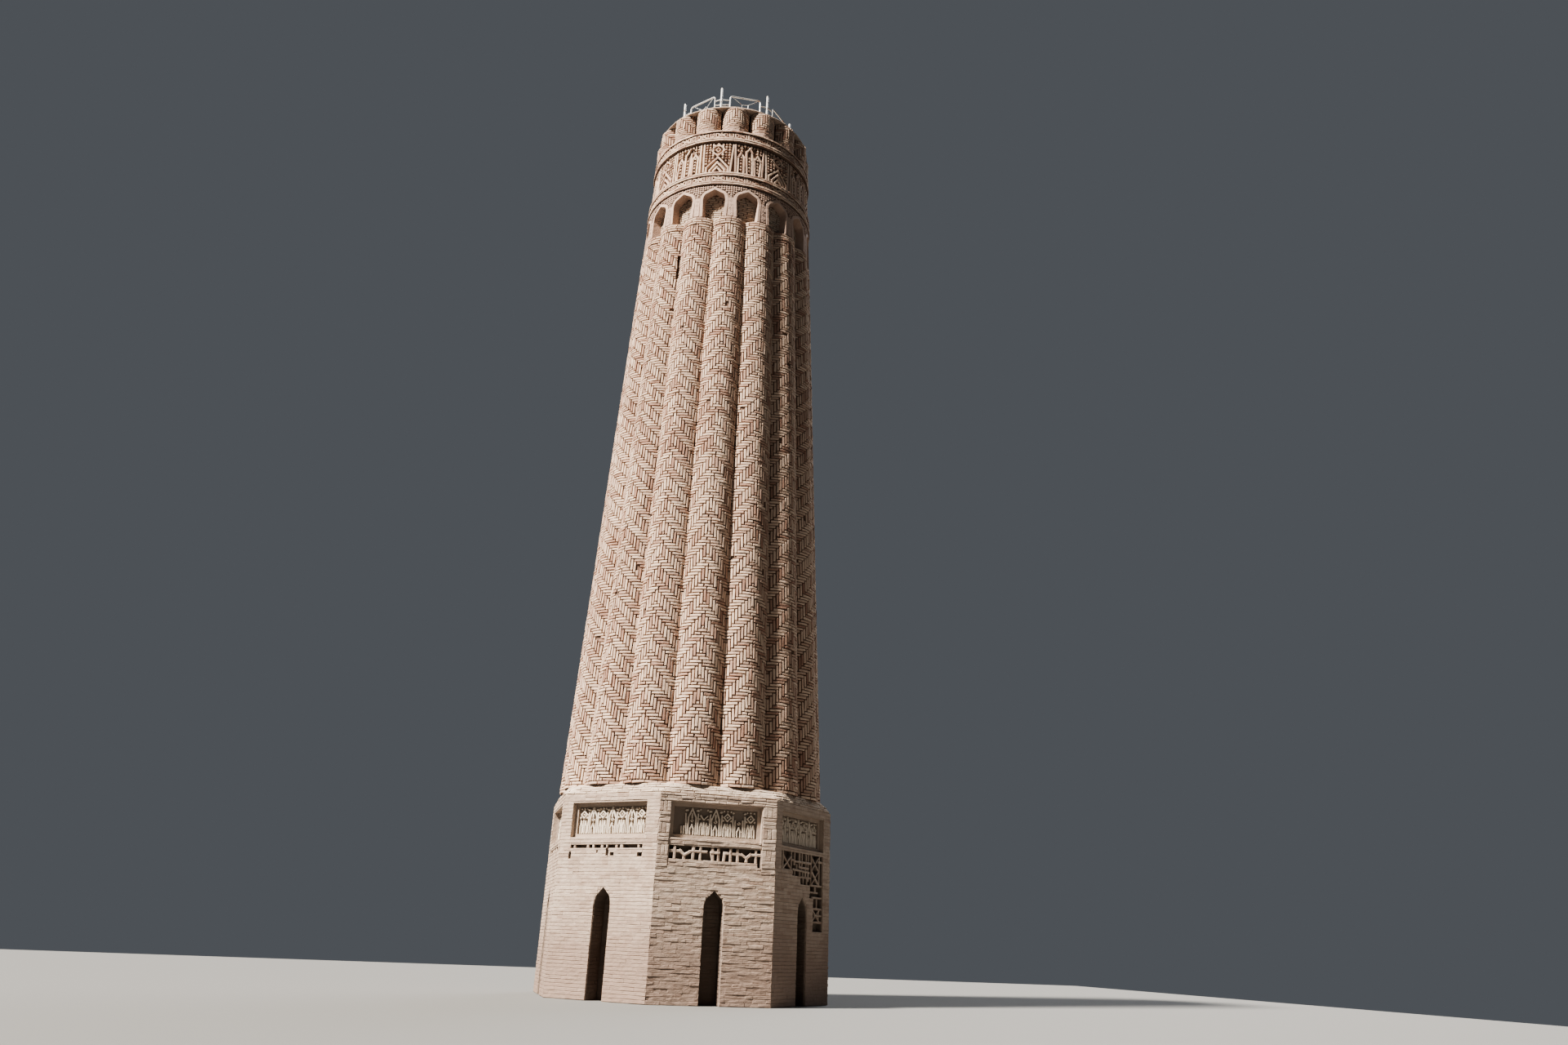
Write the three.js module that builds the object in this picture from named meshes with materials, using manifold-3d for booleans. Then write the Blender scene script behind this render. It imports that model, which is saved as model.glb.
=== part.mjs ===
// Brick minaret: a tapering shaft of sixteen lobes on an octagonal plinth, with a banded head
// and a flat railed roof. Real size in millimetres, +Z up, origin on the ground at the axis.
// Azimuths are degrees about the axis, from the front face (-Y) towards +X.

import * as THREE from 'three';
import { mergeVertices } from 'three/addons/utils/BufferGeometryUtils.js';
import Module from 'manifold-3d';

const wasm = await Module();
wasm.setup();

// Driving dimensions
const GAP = 0.3; // bed joint left between two masses of masonry
const CORE_RADIUS = 950; // open core up the middle
const LOBES = 16;
const LOBE_PITCH = 360 / LOBES;

// Heights of the beds between the storeys
const Z = {
  ground: 0,
  plinthTop: 3860,
  shaftFoot: 4050,
  shaftTop: 18050,
  archTop: 19030,
  friezeBottom: 19430,
  friezeTop: 20420,
  tierBottom: 20780,
  slabBottom: 21550,
  roof: 21620,
};

// Crown radius of the shaft: straight lines from foot to roof
const CROWN_AT_FOOT = 2876;
const SHAFT_TAPER = 0.0482; // radius lost for each unit of height
const crownRadius = (z) => CROWN_AT_FOOT - SHAFT_TAPER * (z - Z.shaftFoot);
const VALLEY_RATIO = 0.915; // radius of the valleys between lobes, as a share of the crowns'

// Plinth, its niches and its panels
const PLINTH = { circumradius: 3137, batter: 0.0065 };
const FACES = ['front', 'front_right', 'right', 'back_right', 'back', 'back_left', 'left', 'front_left'];
const FACE_PITCH = 360 / FACES.length;
const NICHE = { width: 400, springing: 1680, apex: 2060, depth: 360 };
const PANEL = { centre: -30, halfWidth: 920, bottom: 3010, top: 3690, step: 70, firstDepth: 100 };
const PLATE = { faceDepth: 150, thickness: 50, border: 55, relief: 18 };

// Small arched niches around the head of the shaft, one over each valley
const ARCH = { halfWidth: 288, footHalfWidth: 262, springing: 18560, apex: 18880, backRadius: 1930 };

// Ribs of the two bands that frame the main frieze
const RIB = { height: 48, proud: 32 };
const NARROW_FRIEZE_SINK = 22;
const MAIN_FRIEZE_SINK = 62;

// Short half-round columns under the roof
const TIER = { wallRadius: 1770, columnRadius: 336, centreRadius: 1732, sweep: 76 };
const SLAB_RADIUS = 2045;

// Slot window in the valley between two lobes
const SLOT = { azimuth: -45, width: 110, bottom: 16380, top: 17070 };

// Steel railing on the roof: posts, bent pipe hoops between them, and short rails that tie the
// hoops to the posts. Heights are above the roof. The railing is gone on both flanks.
const RAIL = { radius: 1930, postRadius: 29, pipeRadius: 20, linkRadius: 14 };
const WHOLE = { post: 660, hoop: 400, links: [120, 280] };
const HOOP_BEND = 90;
const HOOP_SETBACK = 6; // degrees between a post and the leg of a hoop

// What is left on the front: a short post, two hoops, and a third that is bent down to a broken post.
// Each row gives an azimuth and a height, at both ends where there are two.
const FRONT_POSTS = [[-57, 490], [-24, WHOLE.post], [13, 640], [37, 200]];
const FRONT_HOOPS = [[-50, 260, -29, 410], [-17, WHOLE.hoop, 7, WHOLE.hoop]];
const SAGGING_HOOP = [18, 330, 37, 25];
const FRONT_LINKS = [
  [-57, 100, -50, 100],
  [-29, 120, -24, 120],
  [-29, 250, -24, 300],
  [-24, 120, -17, 120],
  [-24, 290, -17, 260],
  [7, 240, 13, 270],
  [13, 290, 18, 205],
];

// The back repeats the whole bays
const BACK_POSTS = { first: 90, pitch: 32, right: 3, left: 3 };

// Finishes
const shaftBrick = { color: 0xb8977f, roughness: 0.92, metalness: 0 };
const plinthBrick = { color: 0xa08f7f, roughness: 0.95, metalness: 0 };
const stucco = { color: 0xc4b19c, roughness: 0.9, metalness: 0 };
const cement = { color: 0xb5a594, roughness: 0.9, metalness: 0 };
const galvanised = { color: 0xb9b9b5, roughness: 0.45, metalness: 0.8 };

const radians = THREE.MathUtils.degToRad;

// A plan point at a radius and an azimuth
function plan(radius, azimuth) {
  return new THREE.Vector2(radius * Math.sin(radians(azimuth)), -radius * Math.cos(radians(azimuth)));
}

function toSolid(geometry) {
  const bare = geometry.clone();
  bare.deleteAttribute('normal');
  bare.deleteAttribute('uv');
  const merged = mergeVertices(bare, 1e-4);
  return new wasm.Manifold(new wasm.Mesh({
    numProp: 3,
    vertProperties: new Float32Array(merged.attributes.position.array),
    triVerts: new Uint32Array(merged.index.array),
  }));
}

function toGeometry(solid) {
  const mesh = solid.getMesh();
  const geometry = new THREE.BufferGeometry();
  geometry.setAttribute('position', new THREE.BufferAttribute(mesh.vertProperties, 3));
  geometry.setIndex(new THREE.BufferAttribute(mesh.triVerts, 1));
  geometry.computeVertexNormals();
  return geometry;
}

// A prism over a plan outline between two heights
function prism(points, bottom, top, holes = []) {
  const shape = new THREE.Shape(points);
  shape.holes = holes.map((hole) => new THREE.Path(hole));
  const geometry = new THREE.ExtrudeGeometry(shape, { depth: top - bottom, bevelEnabled: false, steps: 1 });
  return geometry.translate(0, 0, bottom);
}

// Scales each level of a geometry towards the axis
function taper(geometry, scaleAt) {
  const position = geometry.attributes.position;
  for (let i = 0; i < position.count; i += 1) {
    const scale = scaleAt(position.getZ(i));
    position.setXY(i, position.getX(i) * scale, position.getY(i) * scale);
  }
  return geometry;
}

function ringPoints(radius, count, start = 0) {
  return Array.from({ length: count }, (_, i) => plan(radius, start + (360 * i) / count));
}

// A round drum between two heights
function drum(radius, bottom, top, sides) {
  const geometry = new THREE.CylinderGeometry(radius, radius, top - bottom, sides);
  return geometry.rotateX(Math.PI / 2).translate(0, 0, (top + bottom) / 2);
}

const CORE_SIDES = 32;
const core = toSolid(drum(CORE_RADIUS, -100, 30000, CORE_SIDES));

// A box laid against a face: x across it, depth inwards from the plane at the given distance
function faceBox(azimuth, distance, x0, x1, z0, z1, depth) {
  const OUTSIDE = 400; // lets the cutter run out through the face
  const geometry = new THREE.BoxGeometry(x1 - x0, depth + OUTSIDE, z1 - z0);
  geometry.translate((x0 + x1) / 2, -(distance - depth) - (depth + OUTSIDE) / 2, (z0 + z1) / 2);
  return geometry.rotateZ(radians(azimuth));
}

// A pointed arch outline: jambs, haunches and two straight slopes that meet at the apex
function archShape(halfWidth, footHalfWidth, bottom, springing, apex) {
  const HAUNCH = { out: 0.8, up: 0.58 }; // where the curve meets the straight slope
  const shape = new THREE.Shape();
  shape.moveTo(-footHalfWidth, bottom);
  shape.lineTo(footHalfWidth, bottom);
  shape.lineTo(halfWidth, springing);
  const rise = apex - springing;
  const pull = springing + rise * 0.36; // height of the control point of each curve
  const haunch = springing + rise * HAUNCH.up;
  shape.quadraticCurveTo(halfWidth, pull, halfWidth * HAUNCH.out, haunch);
  shape.lineTo(0, apex);
  shape.lineTo(-halfWidth * HAUNCH.out, haunch);
  shape.quadraticCurveTo(-halfWidth, pull, -halfWidth, springing);
  shape.lineTo(-footHalfWidth, bottom);
  return shape;
}

// An arch cutter that runs radially from a back plane out through the wall
function archCutter(azimuth, shape, backRadius, outRadius) {
  const CURVE_STEPS = 2;
  const options = { depth: outRadius - backRadius, bevelEnabled: false, curveSegments: CURVE_STEPS };
  const geometry = new THREE.ExtrudeGeometry(shape, options);
  geometry.rotateX(Math.PI / 2).translate(0, -backRadius, 0);
  return geometry.rotateZ(radians(azimuth));
}

const tower = new THREE.Group();

function addMesh(name, geometry, finish) {
  const mesh = new THREE.Mesh(geometry, new THREE.MeshStandardMaterial(finish));
  mesh.name = name;
  tower.add(mesh);
}

// Half the angle that a wedge gives up so that the joint at the core is one gap wide
const JOINT_ANGLE = THREE.MathUtils.radToDeg(GAP / 2 / CORE_RADIUS);

const plinthCircumradius = (z) => PLINTH.circumradius - PLINTH.batter * z;
const APOTHEM_RATIO = Math.cos(radians(FACE_PITCH / 2));
const faceDistance = (z) => plinthCircumradius(z) * APOTHEM_RATIO;

// Recesses for the pierced brickwork under the panels, as [left, right, bottom, top]
const LATTICE_DEPTH = 120;
const FRONT_LATTICE = [[-950, 895, 2610, 2868], [825, 895, 2520, 2610]];
const PLAIN_LATTICE = [[-920, 860, 2795, 2868]]; // most faces keep only the top row
const HOLED_LATTICE = [
  ...PLAIN_LATTICE,
  [-945, -885, 2590, 2725],
  [-258, -218, 2703, 2748],
  [-21, 43, 2650, 2795],
  [88, 180, 2650, 2710],
  [742, 860, 2635, 2710],
];
const STEPPED_LATTICE = [
  [-945, 880, 2570, 2920],
  [-470, 885, 2460, 2570],
  [-110, 890, 2310, 2460],
  [310, 895, 2060, 2310],
  [460, 905, 1410, 2060],
];

function latticeRecesses(face) {
  const special = { front: FRONT_LATTICE, front_right: STEPPED_LATTICE, front_left: HOLED_LATTICE };
  return special[face] ?? PLAIN_LATTICE;
}

// Octagonal plinth, one block for each face
function plinthBlock(face, azimuth) {
  const half = FACE_PITCH / 2 - JOINT_ANGLE;
  const corner = PLINTH.circumradius;
  const outline = [new THREE.Vector2(0, 0), plan(corner, azimuth - half), plan(corner, azimuth + half)];
  const block = taper(prism(outline, Z.ground, Z.plinthTop), (z) => plinthCircumradius(z) / corner);
  let solid = toSolid(block).subtract(core);

  const nicheHalf = NICHE.width / 2;
  const arch = archShape(nicheHalf, nicheHalf, -50, NICHE.springing, NICHE.apex);
  solid = solid.subtract(toSolid(archCutter(azimuth, arch, faceDistance(0) - NICHE.depth, corner + 100)));

  const distance = faceDistance((PANEL.bottom + PANEL.top) / 2);
  const backDepth = PLATE.faceDepth + PLATE.thickness;
  const latticePlane = faceDistance(PANEL.bottom);
  [[0, PANEL.firstDepth], [PANEL.step, backDepth]].forEach(([inset, depth]) => {
    const x0 = PANEL.centre - PANEL.halfWidth + inset;
    const x1 = PANEL.centre + PANEL.halfWidth - inset;
    const cutter = faceBox(azimuth, distance, x0, x1, PANEL.bottom + inset, PANEL.top - inset, depth);
    solid = solid.subtract(toSolid(cutter));
  });

  latticeRecesses(face).forEach(([x0, x1, z0, z1]) => {
    solid = solid.subtract(toSolid(faceBox(azimuth, latticePlane, x0, x1, z0, z1, LATTICE_DEPTH)));
  });
  return solid;
}

// Ornament plate: a sunk field inside a raised border, seated in the panel's recess
function ornamentPlate(azimuth) {
  const distance = faceDistance((PANEL.bottom + PANEL.top) / 2) - PLATE.faceDepth;
  const x0 = PANEL.centre - PANEL.halfWidth + PANEL.step + GAP;
  const x1 = PANEL.centre + PANEL.halfWidth - PANEL.step - GAP;
  const z0 = PANEL.bottom + PANEL.step + GAP;
  const z1 = PANEL.top - PANEL.step - GAP;
  const thickness = PLATE.thickness - GAP;
  const slab = new THREE.BoxGeometry(x1 - x0, thickness, z1 - z0);
  slab.translate((x0 + x1) / 2, -(distance - thickness / 2), (z0 + z1) / 2).rotateZ(radians(azimuth));
  const b = PLATE.border;
  const field = faceBox(azimuth, distance, x0 + b, x1 - b, z0 + b, z1 - b, PLATE.relief);
  return toSolid(slab).subtract(toSolid(field));
}

FACES.forEach((face, i) => {
  const azimuth = i * FACE_PITCH;
  addMesh(`plinth_${face}`, toGeometry(plinthBlock(face, azimuth)), plinthBrick);
  addMesh(`panel_${face}`, toGeometry(ornamentPlate(azimuth)), stucco);
});

// Weathered offset between the plinth and the foot of the shaft
function footCourse() {
  const SIDES = FACES.length;
  const SLOPE = { octagonTop: 3010, coneBottom: 3180, coneTop: 2915 };
  const bottom = Z.plinthTop + GAP;
  const octagon = prism(ringPoints(plinthCircumradius(bottom), SIDES, FACE_PITCH / 2), bottom, Z.shaftFoot);
  const shrink = SLOPE.octagonTop / plinthCircumradius(bottom);
  taper(octagon, (z) => (z > bottom + 1 ? shrink : 1));
  const cone = prism(ringPoints(SLOPE.coneBottom, 48), bottom, Z.shaftFoot);
  taper(cone, (z) => (z > bottom + 1 ? SLOPE.coneTop / SLOPE.coneBottom : 1));
  return toSolid(octagon).intersect(toSolid(cone)).subtract(core);
}

addMesh('foot_course', toGeometry(footCourse()), plinthBrick);

// Outer arc of one lobe, from valley to valley, for a crown radius
function lobeArc(crown, azimuth, halfPitch) {
  const STEPS = 8;
  const halfChord = VALLEY_RATIO * Math.sin(radians(LOBE_PITCH / 2));
  const rise = 1 - VALLEY_RATIO * Math.cos(radians(LOBE_PITCH / 2));
  const radius = (halfChord ** 2 + rise ** 2) / (2 * rise);
  const sweep = Math.asin(halfChord / radius);
  const squeeze = halfPitch / (LOBE_PITCH / 2);
  return Array.from({ length: STEPS + 1 }, (_, i) => {
    const turn = sweep * ((2 * i) / STEPS - 1);
    const across = radius * Math.sin(turn);
    const out = 1 - radius + radius * Math.cos(turn);
    const angle = THREE.MathUtils.radToDeg(Math.atan2(across, out)) * squeeze;
    return plan(crown * Math.hypot(across, out), azimuth + angle);
  });
}

// Slot window, cut through the wall along a valley
function slotCutter() {
  const reach = crownRadius(SLOT.bottom);
  const half = SLOT.width / 2;
  return toSolid(faceBox(SLOT.azimuth, reach, -half, half, SLOT.bottom, SLOT.top, reach));
}

// Shaft: one wedge of masonry for each lobe
function shaftLobe(azimuth) {
  const crown = crownRadius(Z.shaftFoot);
  const outline = [new THREE.Vector2(0, 0), ...lobeArc(crown, azimuth, LOBE_PITCH / 2 - JOINT_ANGLE)];
  const bottom = Z.shaftFoot + GAP;
  const lobe = taper(prism(outline, bottom, Z.shaftTop), (z) => crownRadius(z) / crown);
  const solid = toSolid(lobe).subtract(core);
  const besideSlot = Math.abs(azimuth - SLOT.azimuth) < LOBE_PITCH;
  return besideSlot ? solid.subtract(slotCutter()) : solid;
}

for (let i = 0; i < LOBES; i += 1) {
  const azimuth = -180 + LOBE_PITCH * (i + 0.5);
  const number = String(i + 1).padStart(2, '0');
  addMesh(`shaft_lobe_${number}`, toGeometry(shaftLobe(azimuth)), shaftBrick);
}

// Ring of arched niches, in four quarters that part on the crowns between niches
const QUARTERS = ['front', 'right', 'back', 'left'];

function arcadeQuarter(start) {
  const ARC_STEPS = 12;
  const span = 360 / QUARTERS.length;
  const bottom = Z.shaftTop + GAP;
  const radius = crownRadius(bottom);
  const outline = [new THREE.Vector2(0, 0)];
  for (let i = 0; i <= ARC_STEPS; i += 1) {
    const end = i === 0 ? JOINT_ANGLE : i === ARC_STEPS ? -JOINT_ANGLE : 0;
    outline.push(plan(radius, start + (span * i) / ARC_STEPS + end));
  }
  const wall = taper(prism(outline, bottom, Z.archTop), (z) => crownRadius(z) / radius);
  let solid = toSolid(wall).subtract(core);
  const shape = archShape(ARCH.halfWidth, ARCH.footHalfWidth, Z.shaftTop - 50, ARCH.springing, ARCH.apex);
  for (let azimuth = start + LOBE_PITCH / 2; azimuth < start + span; azimuth += LOBE_PITCH) {
    solid = solid.subtract(toSolid(archCutter(azimuth, shape, ARCH.backRadius, radius + 200)));
  }
  return solid;
}

QUARTERS.forEach((quarter, i) => {
  const start = (i * 360) / QUARTERS.length - 2.5 * LOBE_PITCH;
  addMesh(`arcade_${quarter}`, toGeometry(arcadeQuarter(start)), shaftBrick);
});

// Turned rings of the head: each profile is listed from the bottom up as [height, offset]
const RING_STEPS = 48;

function ring(bottom, top, steps) {
  const outer = steps.map(([z, offset]) => new THREE.Vector2(crownRadius(z) + offset, z));
  const inner = [new THREE.Vector2(CORE_RADIUS, top), new THREE.Vector2(CORE_RADIUS, bottom)];
  const profile = [...outer, ...inner, outer[0].clone()];
  const geometry = new THREE.LatheGeometry(profile, RING_STEPS);
  return toSolid(geometry.rotateX(Math.PI / 2));
}

// The outline of one square rib that starts at a height
function rib(z) {
  return [[z, 0], [z, RIB.proud], [z + RIB.height, RIB.proud], [z + RIB.height, 0]];
}

function friezeBand(bottom, top, lowerRibs, upperRibs) {
  const sinkFrom = lowerRibs.at(-1) + RIB.height + 8;
  const sinkTo = upperRibs[0] - 8;
  const steps = [[bottom, 0], ...lowerRibs.flatMap(rib)];
  steps.push([sinkFrom, 0], [sinkFrom, -NARROW_FRIEZE_SINK], [sinkTo, -NARROW_FRIEZE_SINK], [sinkTo, 0]);
  steps.push(...upperRibs.flatMap(rib), [top, 0]);
  return ring(bottom, top, steps);
}

const lowerBand = friezeBand(Z.archTop + GAP, Z.friezeBottom, [19036, 19096], [19312, 19372]);
const upperBand = friezeBand(Z.friezeTop + GAP, Z.tierBottom, [20428, 20490], [20720]);
const friezeFrom = Z.friezeBottom + GAP;
const mainFrieze = ring(friezeFrom, Z.friezeTop, [
  [friezeFrom, -MAIN_FRIEZE_SINK],
  [Z.friezeTop, -MAIN_FRIEZE_SINK],
]);
addMesh('lower_band', toGeometry(lowerBand), shaftBrick);
addMesh('main_frieze', toGeometry(mainFrieze), shaftBrick);
addMesh('upper_band', toGeometry(upperBand), shaftBrick);

// Short half-round columns against a set-back wall, under the roof
function columnTier() {
  const STEPS = 8;
  const outline = [];
  for (let i = 0; i < LOBES; i += 1) {
    const azimuth = LOBE_PITCH * (i + 0.5);
    const centre = plan(TIER.centreRadius, azimuth);
    for (let k = 0; k <= STEPS; k += 1) {
      const turn = azimuth + TIER.sweep * ((2 * k) / STEPS - 1);
      outline.push(centre.clone().add(plan(TIER.columnRadius, turn)));
    }
    outline.push(plan(TIER.wallRadius, azimuth + LOBE_PITCH / 2));
  }
  return prism(outline, Z.tierBottom + GAP, Z.slabBottom, [ringPoints(CORE_RADIUS, 32)]);
}

addMesh('column_tier', columnTier(), shaftBrick);
addMesh('roof_slab', drum(SLAB_RADIUS, Z.slabBottom + GAP, Z.roof, RING_STEPS), cement);

// Railing
function spatial(radius, azimuth, z) {
  const p = plan(radius, azimuth);
  return new THREE.Vector3(p.x, p.y, z);
}

const PIPE_SIDES = 6;

// A pipe between two points, run on past both by a share of its radius so that bends close
function pipe(from, to, radius, overrun = 0) {
  const along = to.clone().sub(from);
  const length = along.length() + 2 * overrun;
  const geometry = new THREE.CylinderGeometry(radius, radius, length, PIPE_SIDES);
  const turn = new THREE.Quaternion().setFromUnitVectors(new THREE.Vector3(0, 1, 0), along.normalize());
  geometry.applyQuaternion(turn);
  const middle = from.clone().add(to).multiplyScalar(0.5);
  return toSolid(geometry.translate(middle.x, middle.y, middle.z));
}

// One piece from a list of solids that run into each other
const fuse = (solids) => solids.reduce((sum, solid) => sum.add(solid));

// A bent pipe along a chain of joints
function bentPipe(joints) {
  const BEND_OVERRUN = 6;
  return fuse(joints.slice(1).map((joint, i) => {
    const isLeg = joints[i].x === joint.x && joints[i].y === joint.y;
    return pipe(joints[i], joint, RAIL.pipeRadius, isLeg ? 0 : BEND_OVERRUN);
  }));
}

const DECK = Z.roof + GAP;

// The leg of a hoop and the bend at its head, in order from the deck
function hoopLeg(azimuth, height, towards) {
  const head = spatial(RAIL.radius, azimuth, Z.roof + height);
  const along = towards.clone().sub(head).normalize().multiplyScalar(HOOP_BEND);
  const bend = spatial(RAIL.radius, azimuth, Z.roof + height - HOOP_BEND);
  return [spatial(RAIL.radius, azimuth, DECK), bend, head.add(along)];
}

// A hoop: two legs and a top pipe, with each bend cut across by one short length
function hoop([from, fromHeight, to, toHeight]) {
  const near = spatial(RAIL.radius, from, Z.roof + fromHeight);
  const far = spatial(RAIL.radius, to, Z.roof + toHeight);
  return bentPipe([...hoopLeg(from, fromHeight, far), ...hoopLeg(to, toHeight, near).reverse()]);
}

// A hoop whose far leg is gone, so that its top pipe slopes down
function saggingHoop([from, fromHeight, to, toHeight]) {
  const far = spatial(RAIL.radius, to, Z.roof + toHeight);
  return bentPipe([...hoopLeg(from, fromHeight, far), far]);
}

function post(azimuth, height) {
  const foot = spatial(RAIL.radius, azimuth, DECK);
  const head = spatial(RAIL.radius, azimuth, Z.roof + height);
  return pipe(foot, head, RAIL.postRadius);
}

function link(from, fromHeight, to, toHeight) {
  const start = spatial(RAIL.radius, from, Z.roof + fromHeight);
  const end = spatial(RAIL.radius, to, Z.roof + toHeight);
  return pipe(start, end, RAIL.linkRadius);
}

function frontRailing() {
  return fuse([
    ...FRONT_POSTS.map((args) => post(...args)),
    ...FRONT_HOOPS.map(hoop),
    saggingHoop(SAGGING_HOOP),
    ...FRONT_LINKS.map((args) => link(...args)),
  ]);
}

// Whole bays: each has a post and the hoop after it, and its last rails stop short of a post to come
function wholeRailing(first, count, endsOpen) {
  const stop = THREE.MathUtils.radToDeg((RAIL.postRadius + GAP) / RAIL.radius);
  const solids = [];
  for (let i = 0; i < count; i += 1) {
    const azimuth = first + BACK_POSTS.pitch * i;
    const next = azimuth + BACK_POSTS.pitch;
    const isLast = i + 1 === count;
    solids.push(post(azimuth, WHOLE.post));
    if (isLast && !endsOpen) break;
    const [from, to] = [azimuth + HOOP_SETBACK, next - HOOP_SETBACK];
    solids.push(hoop([from, WHOLE.hoop, to, WHOLE.hoop]));
    WHOLE.links.forEach((height) => {
      solids.push(link(azimuth, height, from, height), link(to, height, isLast ? next - stop : next, height));
    });
  }
  return fuse(solids);
}

const leftStart = BACK_POSTS.first + BACK_POSTS.pitch * BACK_POSTS.right;
addMesh('railing_front', toGeometry(frontRailing()), galvanised);
addMesh('railing_right', toGeometry(wholeRailing(BACK_POSTS.first, BACK_POSTS.right, true)), galvanised);
addMesh('railing_back', toGeometry(wholeRailing(leftStart, BACK_POSTS.left, false)), galvanised);

export default tower;
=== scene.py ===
import math

import bmesh
import bpy
import numpy as np
from mathutils import Matrix, Vector


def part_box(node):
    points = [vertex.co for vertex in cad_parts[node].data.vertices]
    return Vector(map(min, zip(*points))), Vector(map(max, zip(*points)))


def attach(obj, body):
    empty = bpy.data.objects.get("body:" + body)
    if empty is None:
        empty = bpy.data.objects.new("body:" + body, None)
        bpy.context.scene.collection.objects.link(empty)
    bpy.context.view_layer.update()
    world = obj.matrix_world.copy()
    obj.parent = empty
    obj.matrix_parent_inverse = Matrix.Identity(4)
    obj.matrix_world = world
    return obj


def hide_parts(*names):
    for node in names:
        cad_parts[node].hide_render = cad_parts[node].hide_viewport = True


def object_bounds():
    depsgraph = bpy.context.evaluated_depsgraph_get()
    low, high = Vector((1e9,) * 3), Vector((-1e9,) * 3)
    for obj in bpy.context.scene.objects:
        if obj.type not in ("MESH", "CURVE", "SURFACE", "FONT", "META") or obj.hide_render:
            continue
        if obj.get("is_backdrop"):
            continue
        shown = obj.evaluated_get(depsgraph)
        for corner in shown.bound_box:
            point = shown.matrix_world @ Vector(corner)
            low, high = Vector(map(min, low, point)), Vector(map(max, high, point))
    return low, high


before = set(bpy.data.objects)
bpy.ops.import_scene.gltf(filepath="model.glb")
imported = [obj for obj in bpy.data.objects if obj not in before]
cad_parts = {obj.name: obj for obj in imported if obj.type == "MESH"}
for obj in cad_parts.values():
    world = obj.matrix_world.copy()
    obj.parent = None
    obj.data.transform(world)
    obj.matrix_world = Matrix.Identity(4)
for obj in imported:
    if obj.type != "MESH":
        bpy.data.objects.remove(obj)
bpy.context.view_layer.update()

# %% [markdown]
# ## The camera
#
# The photograph was taken from low down, looking up, with a wide lens. A camera could be moved by
# eye until the picture matches. Here it is placed by the numbers of a fit: where it stands, which way
# it points and how much it rolls. The tower leans a little in the photograph, and the roll takes that
# up, so the tower itself can stand plumb.
# %% Camera
CAMERA_PLACE = Vector((-5.07, -25.14, 1.09))
CAMERA_HEADING = math.radians(15.47)
CAMERA_PITCH = math.radians(20.77)
CAMERA_ROLL = math.radians(2.34)
CAMERA_LENS, SENSOR_WIDTH = 25.7, 36
SIGHT = 400

camera_data = bpy.data.cameras.new("camera")
camera_data.sensor_width = SENSOR_WIDTH
camera_data.lens = CAMERA_LENS
camera_data.clip_end = SIGHT
camera = bpy.data.objects.new("camera", camera_data)
bpy.context.scene.collection.objects.link(camera)
level = math.cos(CAMERA_PITCH)
forward = Vector(
    (math.sin(CAMERA_HEADING) * level, math.cos(CAMERA_HEADING) * level, math.sin(CAMERA_PITCH))
)
level_right = Vector((math.cos(CAMERA_HEADING), -math.sin(CAMERA_HEADING), 0))
level_up = level_right.cross(forward)
right = level_right * math.cos(CAMERA_ROLL) + level_up * math.sin(CAMERA_ROLL)
up = right.cross(forward)
camera.matrix_world = Matrix((right, up, -forward)).transposed().to_4x4()
camera.location = CAMERA_PLACE
bpy.context.scene.camera = camera
print("camera lens", CAMERA_LENS, "mm")

# %% [markdown]
# ## Measures
#
# Sizes come from the frame wherever it has them. What the frame can't say in one number, such as
# how the shaft tapers, is named here once. Azimuths are degrees round the axis, from the front
# face towards its right.
# %% Measures
PLINTH_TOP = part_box("plinth_front")[1].z
SHAFT_FOOT, SHAFT_TOP = (corner.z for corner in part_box("shaft_lobe_01"))
ARCADE_FOOT, ARCADE_TOP = (corner.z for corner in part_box("arcade_front"))
FRIEZE_FOOT, FRIEZE_TOP = (corner.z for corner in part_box("main_frieze"))
TIER_FOOT, TIER_TOP = (corner.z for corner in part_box("column_tier"))
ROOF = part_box("roof_slab")[1].z
FACE_AT_GROUND = -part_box("plinth_front")[0].y

LOBES = 16
LOBE_PITCH = 360 / LOBES
CROWN_AT_FOOT = 2.876
TAPER = 0.0482
VALLEY_RATIO = 0.915
FACES = ["front", "front_right", "right", "back_right", "back", "back_left", "left", "front_left"]
FACE_BATTER = 0.006
FACE_TURN = 360 / len(FACES)
HALF_CORNER = math.tan(math.radians(FACE_TURN / 2))
CLEARANCE = 0.004


def crown_radius(height):
    return CROWN_AT_FOOT - TAPER * (height - SHAFT_FOOT)


def face_distance(height):
    return FACE_AT_GROUND - FACE_BATTER * height


half_chord = VALLEY_RATIO * math.sin(math.radians(LOBE_PITCH / 2))
lobe_rise = 1 - VALLEY_RATIO * math.cos(math.radians(LOBE_PITCH / 2))
LOBE_BOW = (half_chord**2 + lobe_rise**2) / (2 * lobe_rise)
LOBE_SWEEP = math.asin(half_chord / LOBE_BOW)
print("lobe radius at the foot:", round(LOBE_BOW * CROWN_AT_FOOT, 3), "m")

# %% [markdown]
# ## Surfaces to lay bricks on
#
# Bricks could be turned and moved one by one. Here brickwork is set out flat, as across and up, and
# then wrapped on the wall, so one way of laying serves lobes, faces and drums. Each function takes
# across, up and out from the wall, and gives the place in space. Across runs to the right as one
# faces the wall, so a brick modelled face up comes out with its face outwards.
# %% Surfaces
def to_space(side, out, height, azimuth):
    """Side and out are measured along and away from the wall at an azimuth."""
    turn = math.radians(azimuth)
    x = out * math.sin(turn) + side * math.cos(turn)
    y = -out * math.cos(turn) + side * math.sin(turn)
    return np.stack(np.broadcast_arrays(x, y, height), axis=-1)


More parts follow.
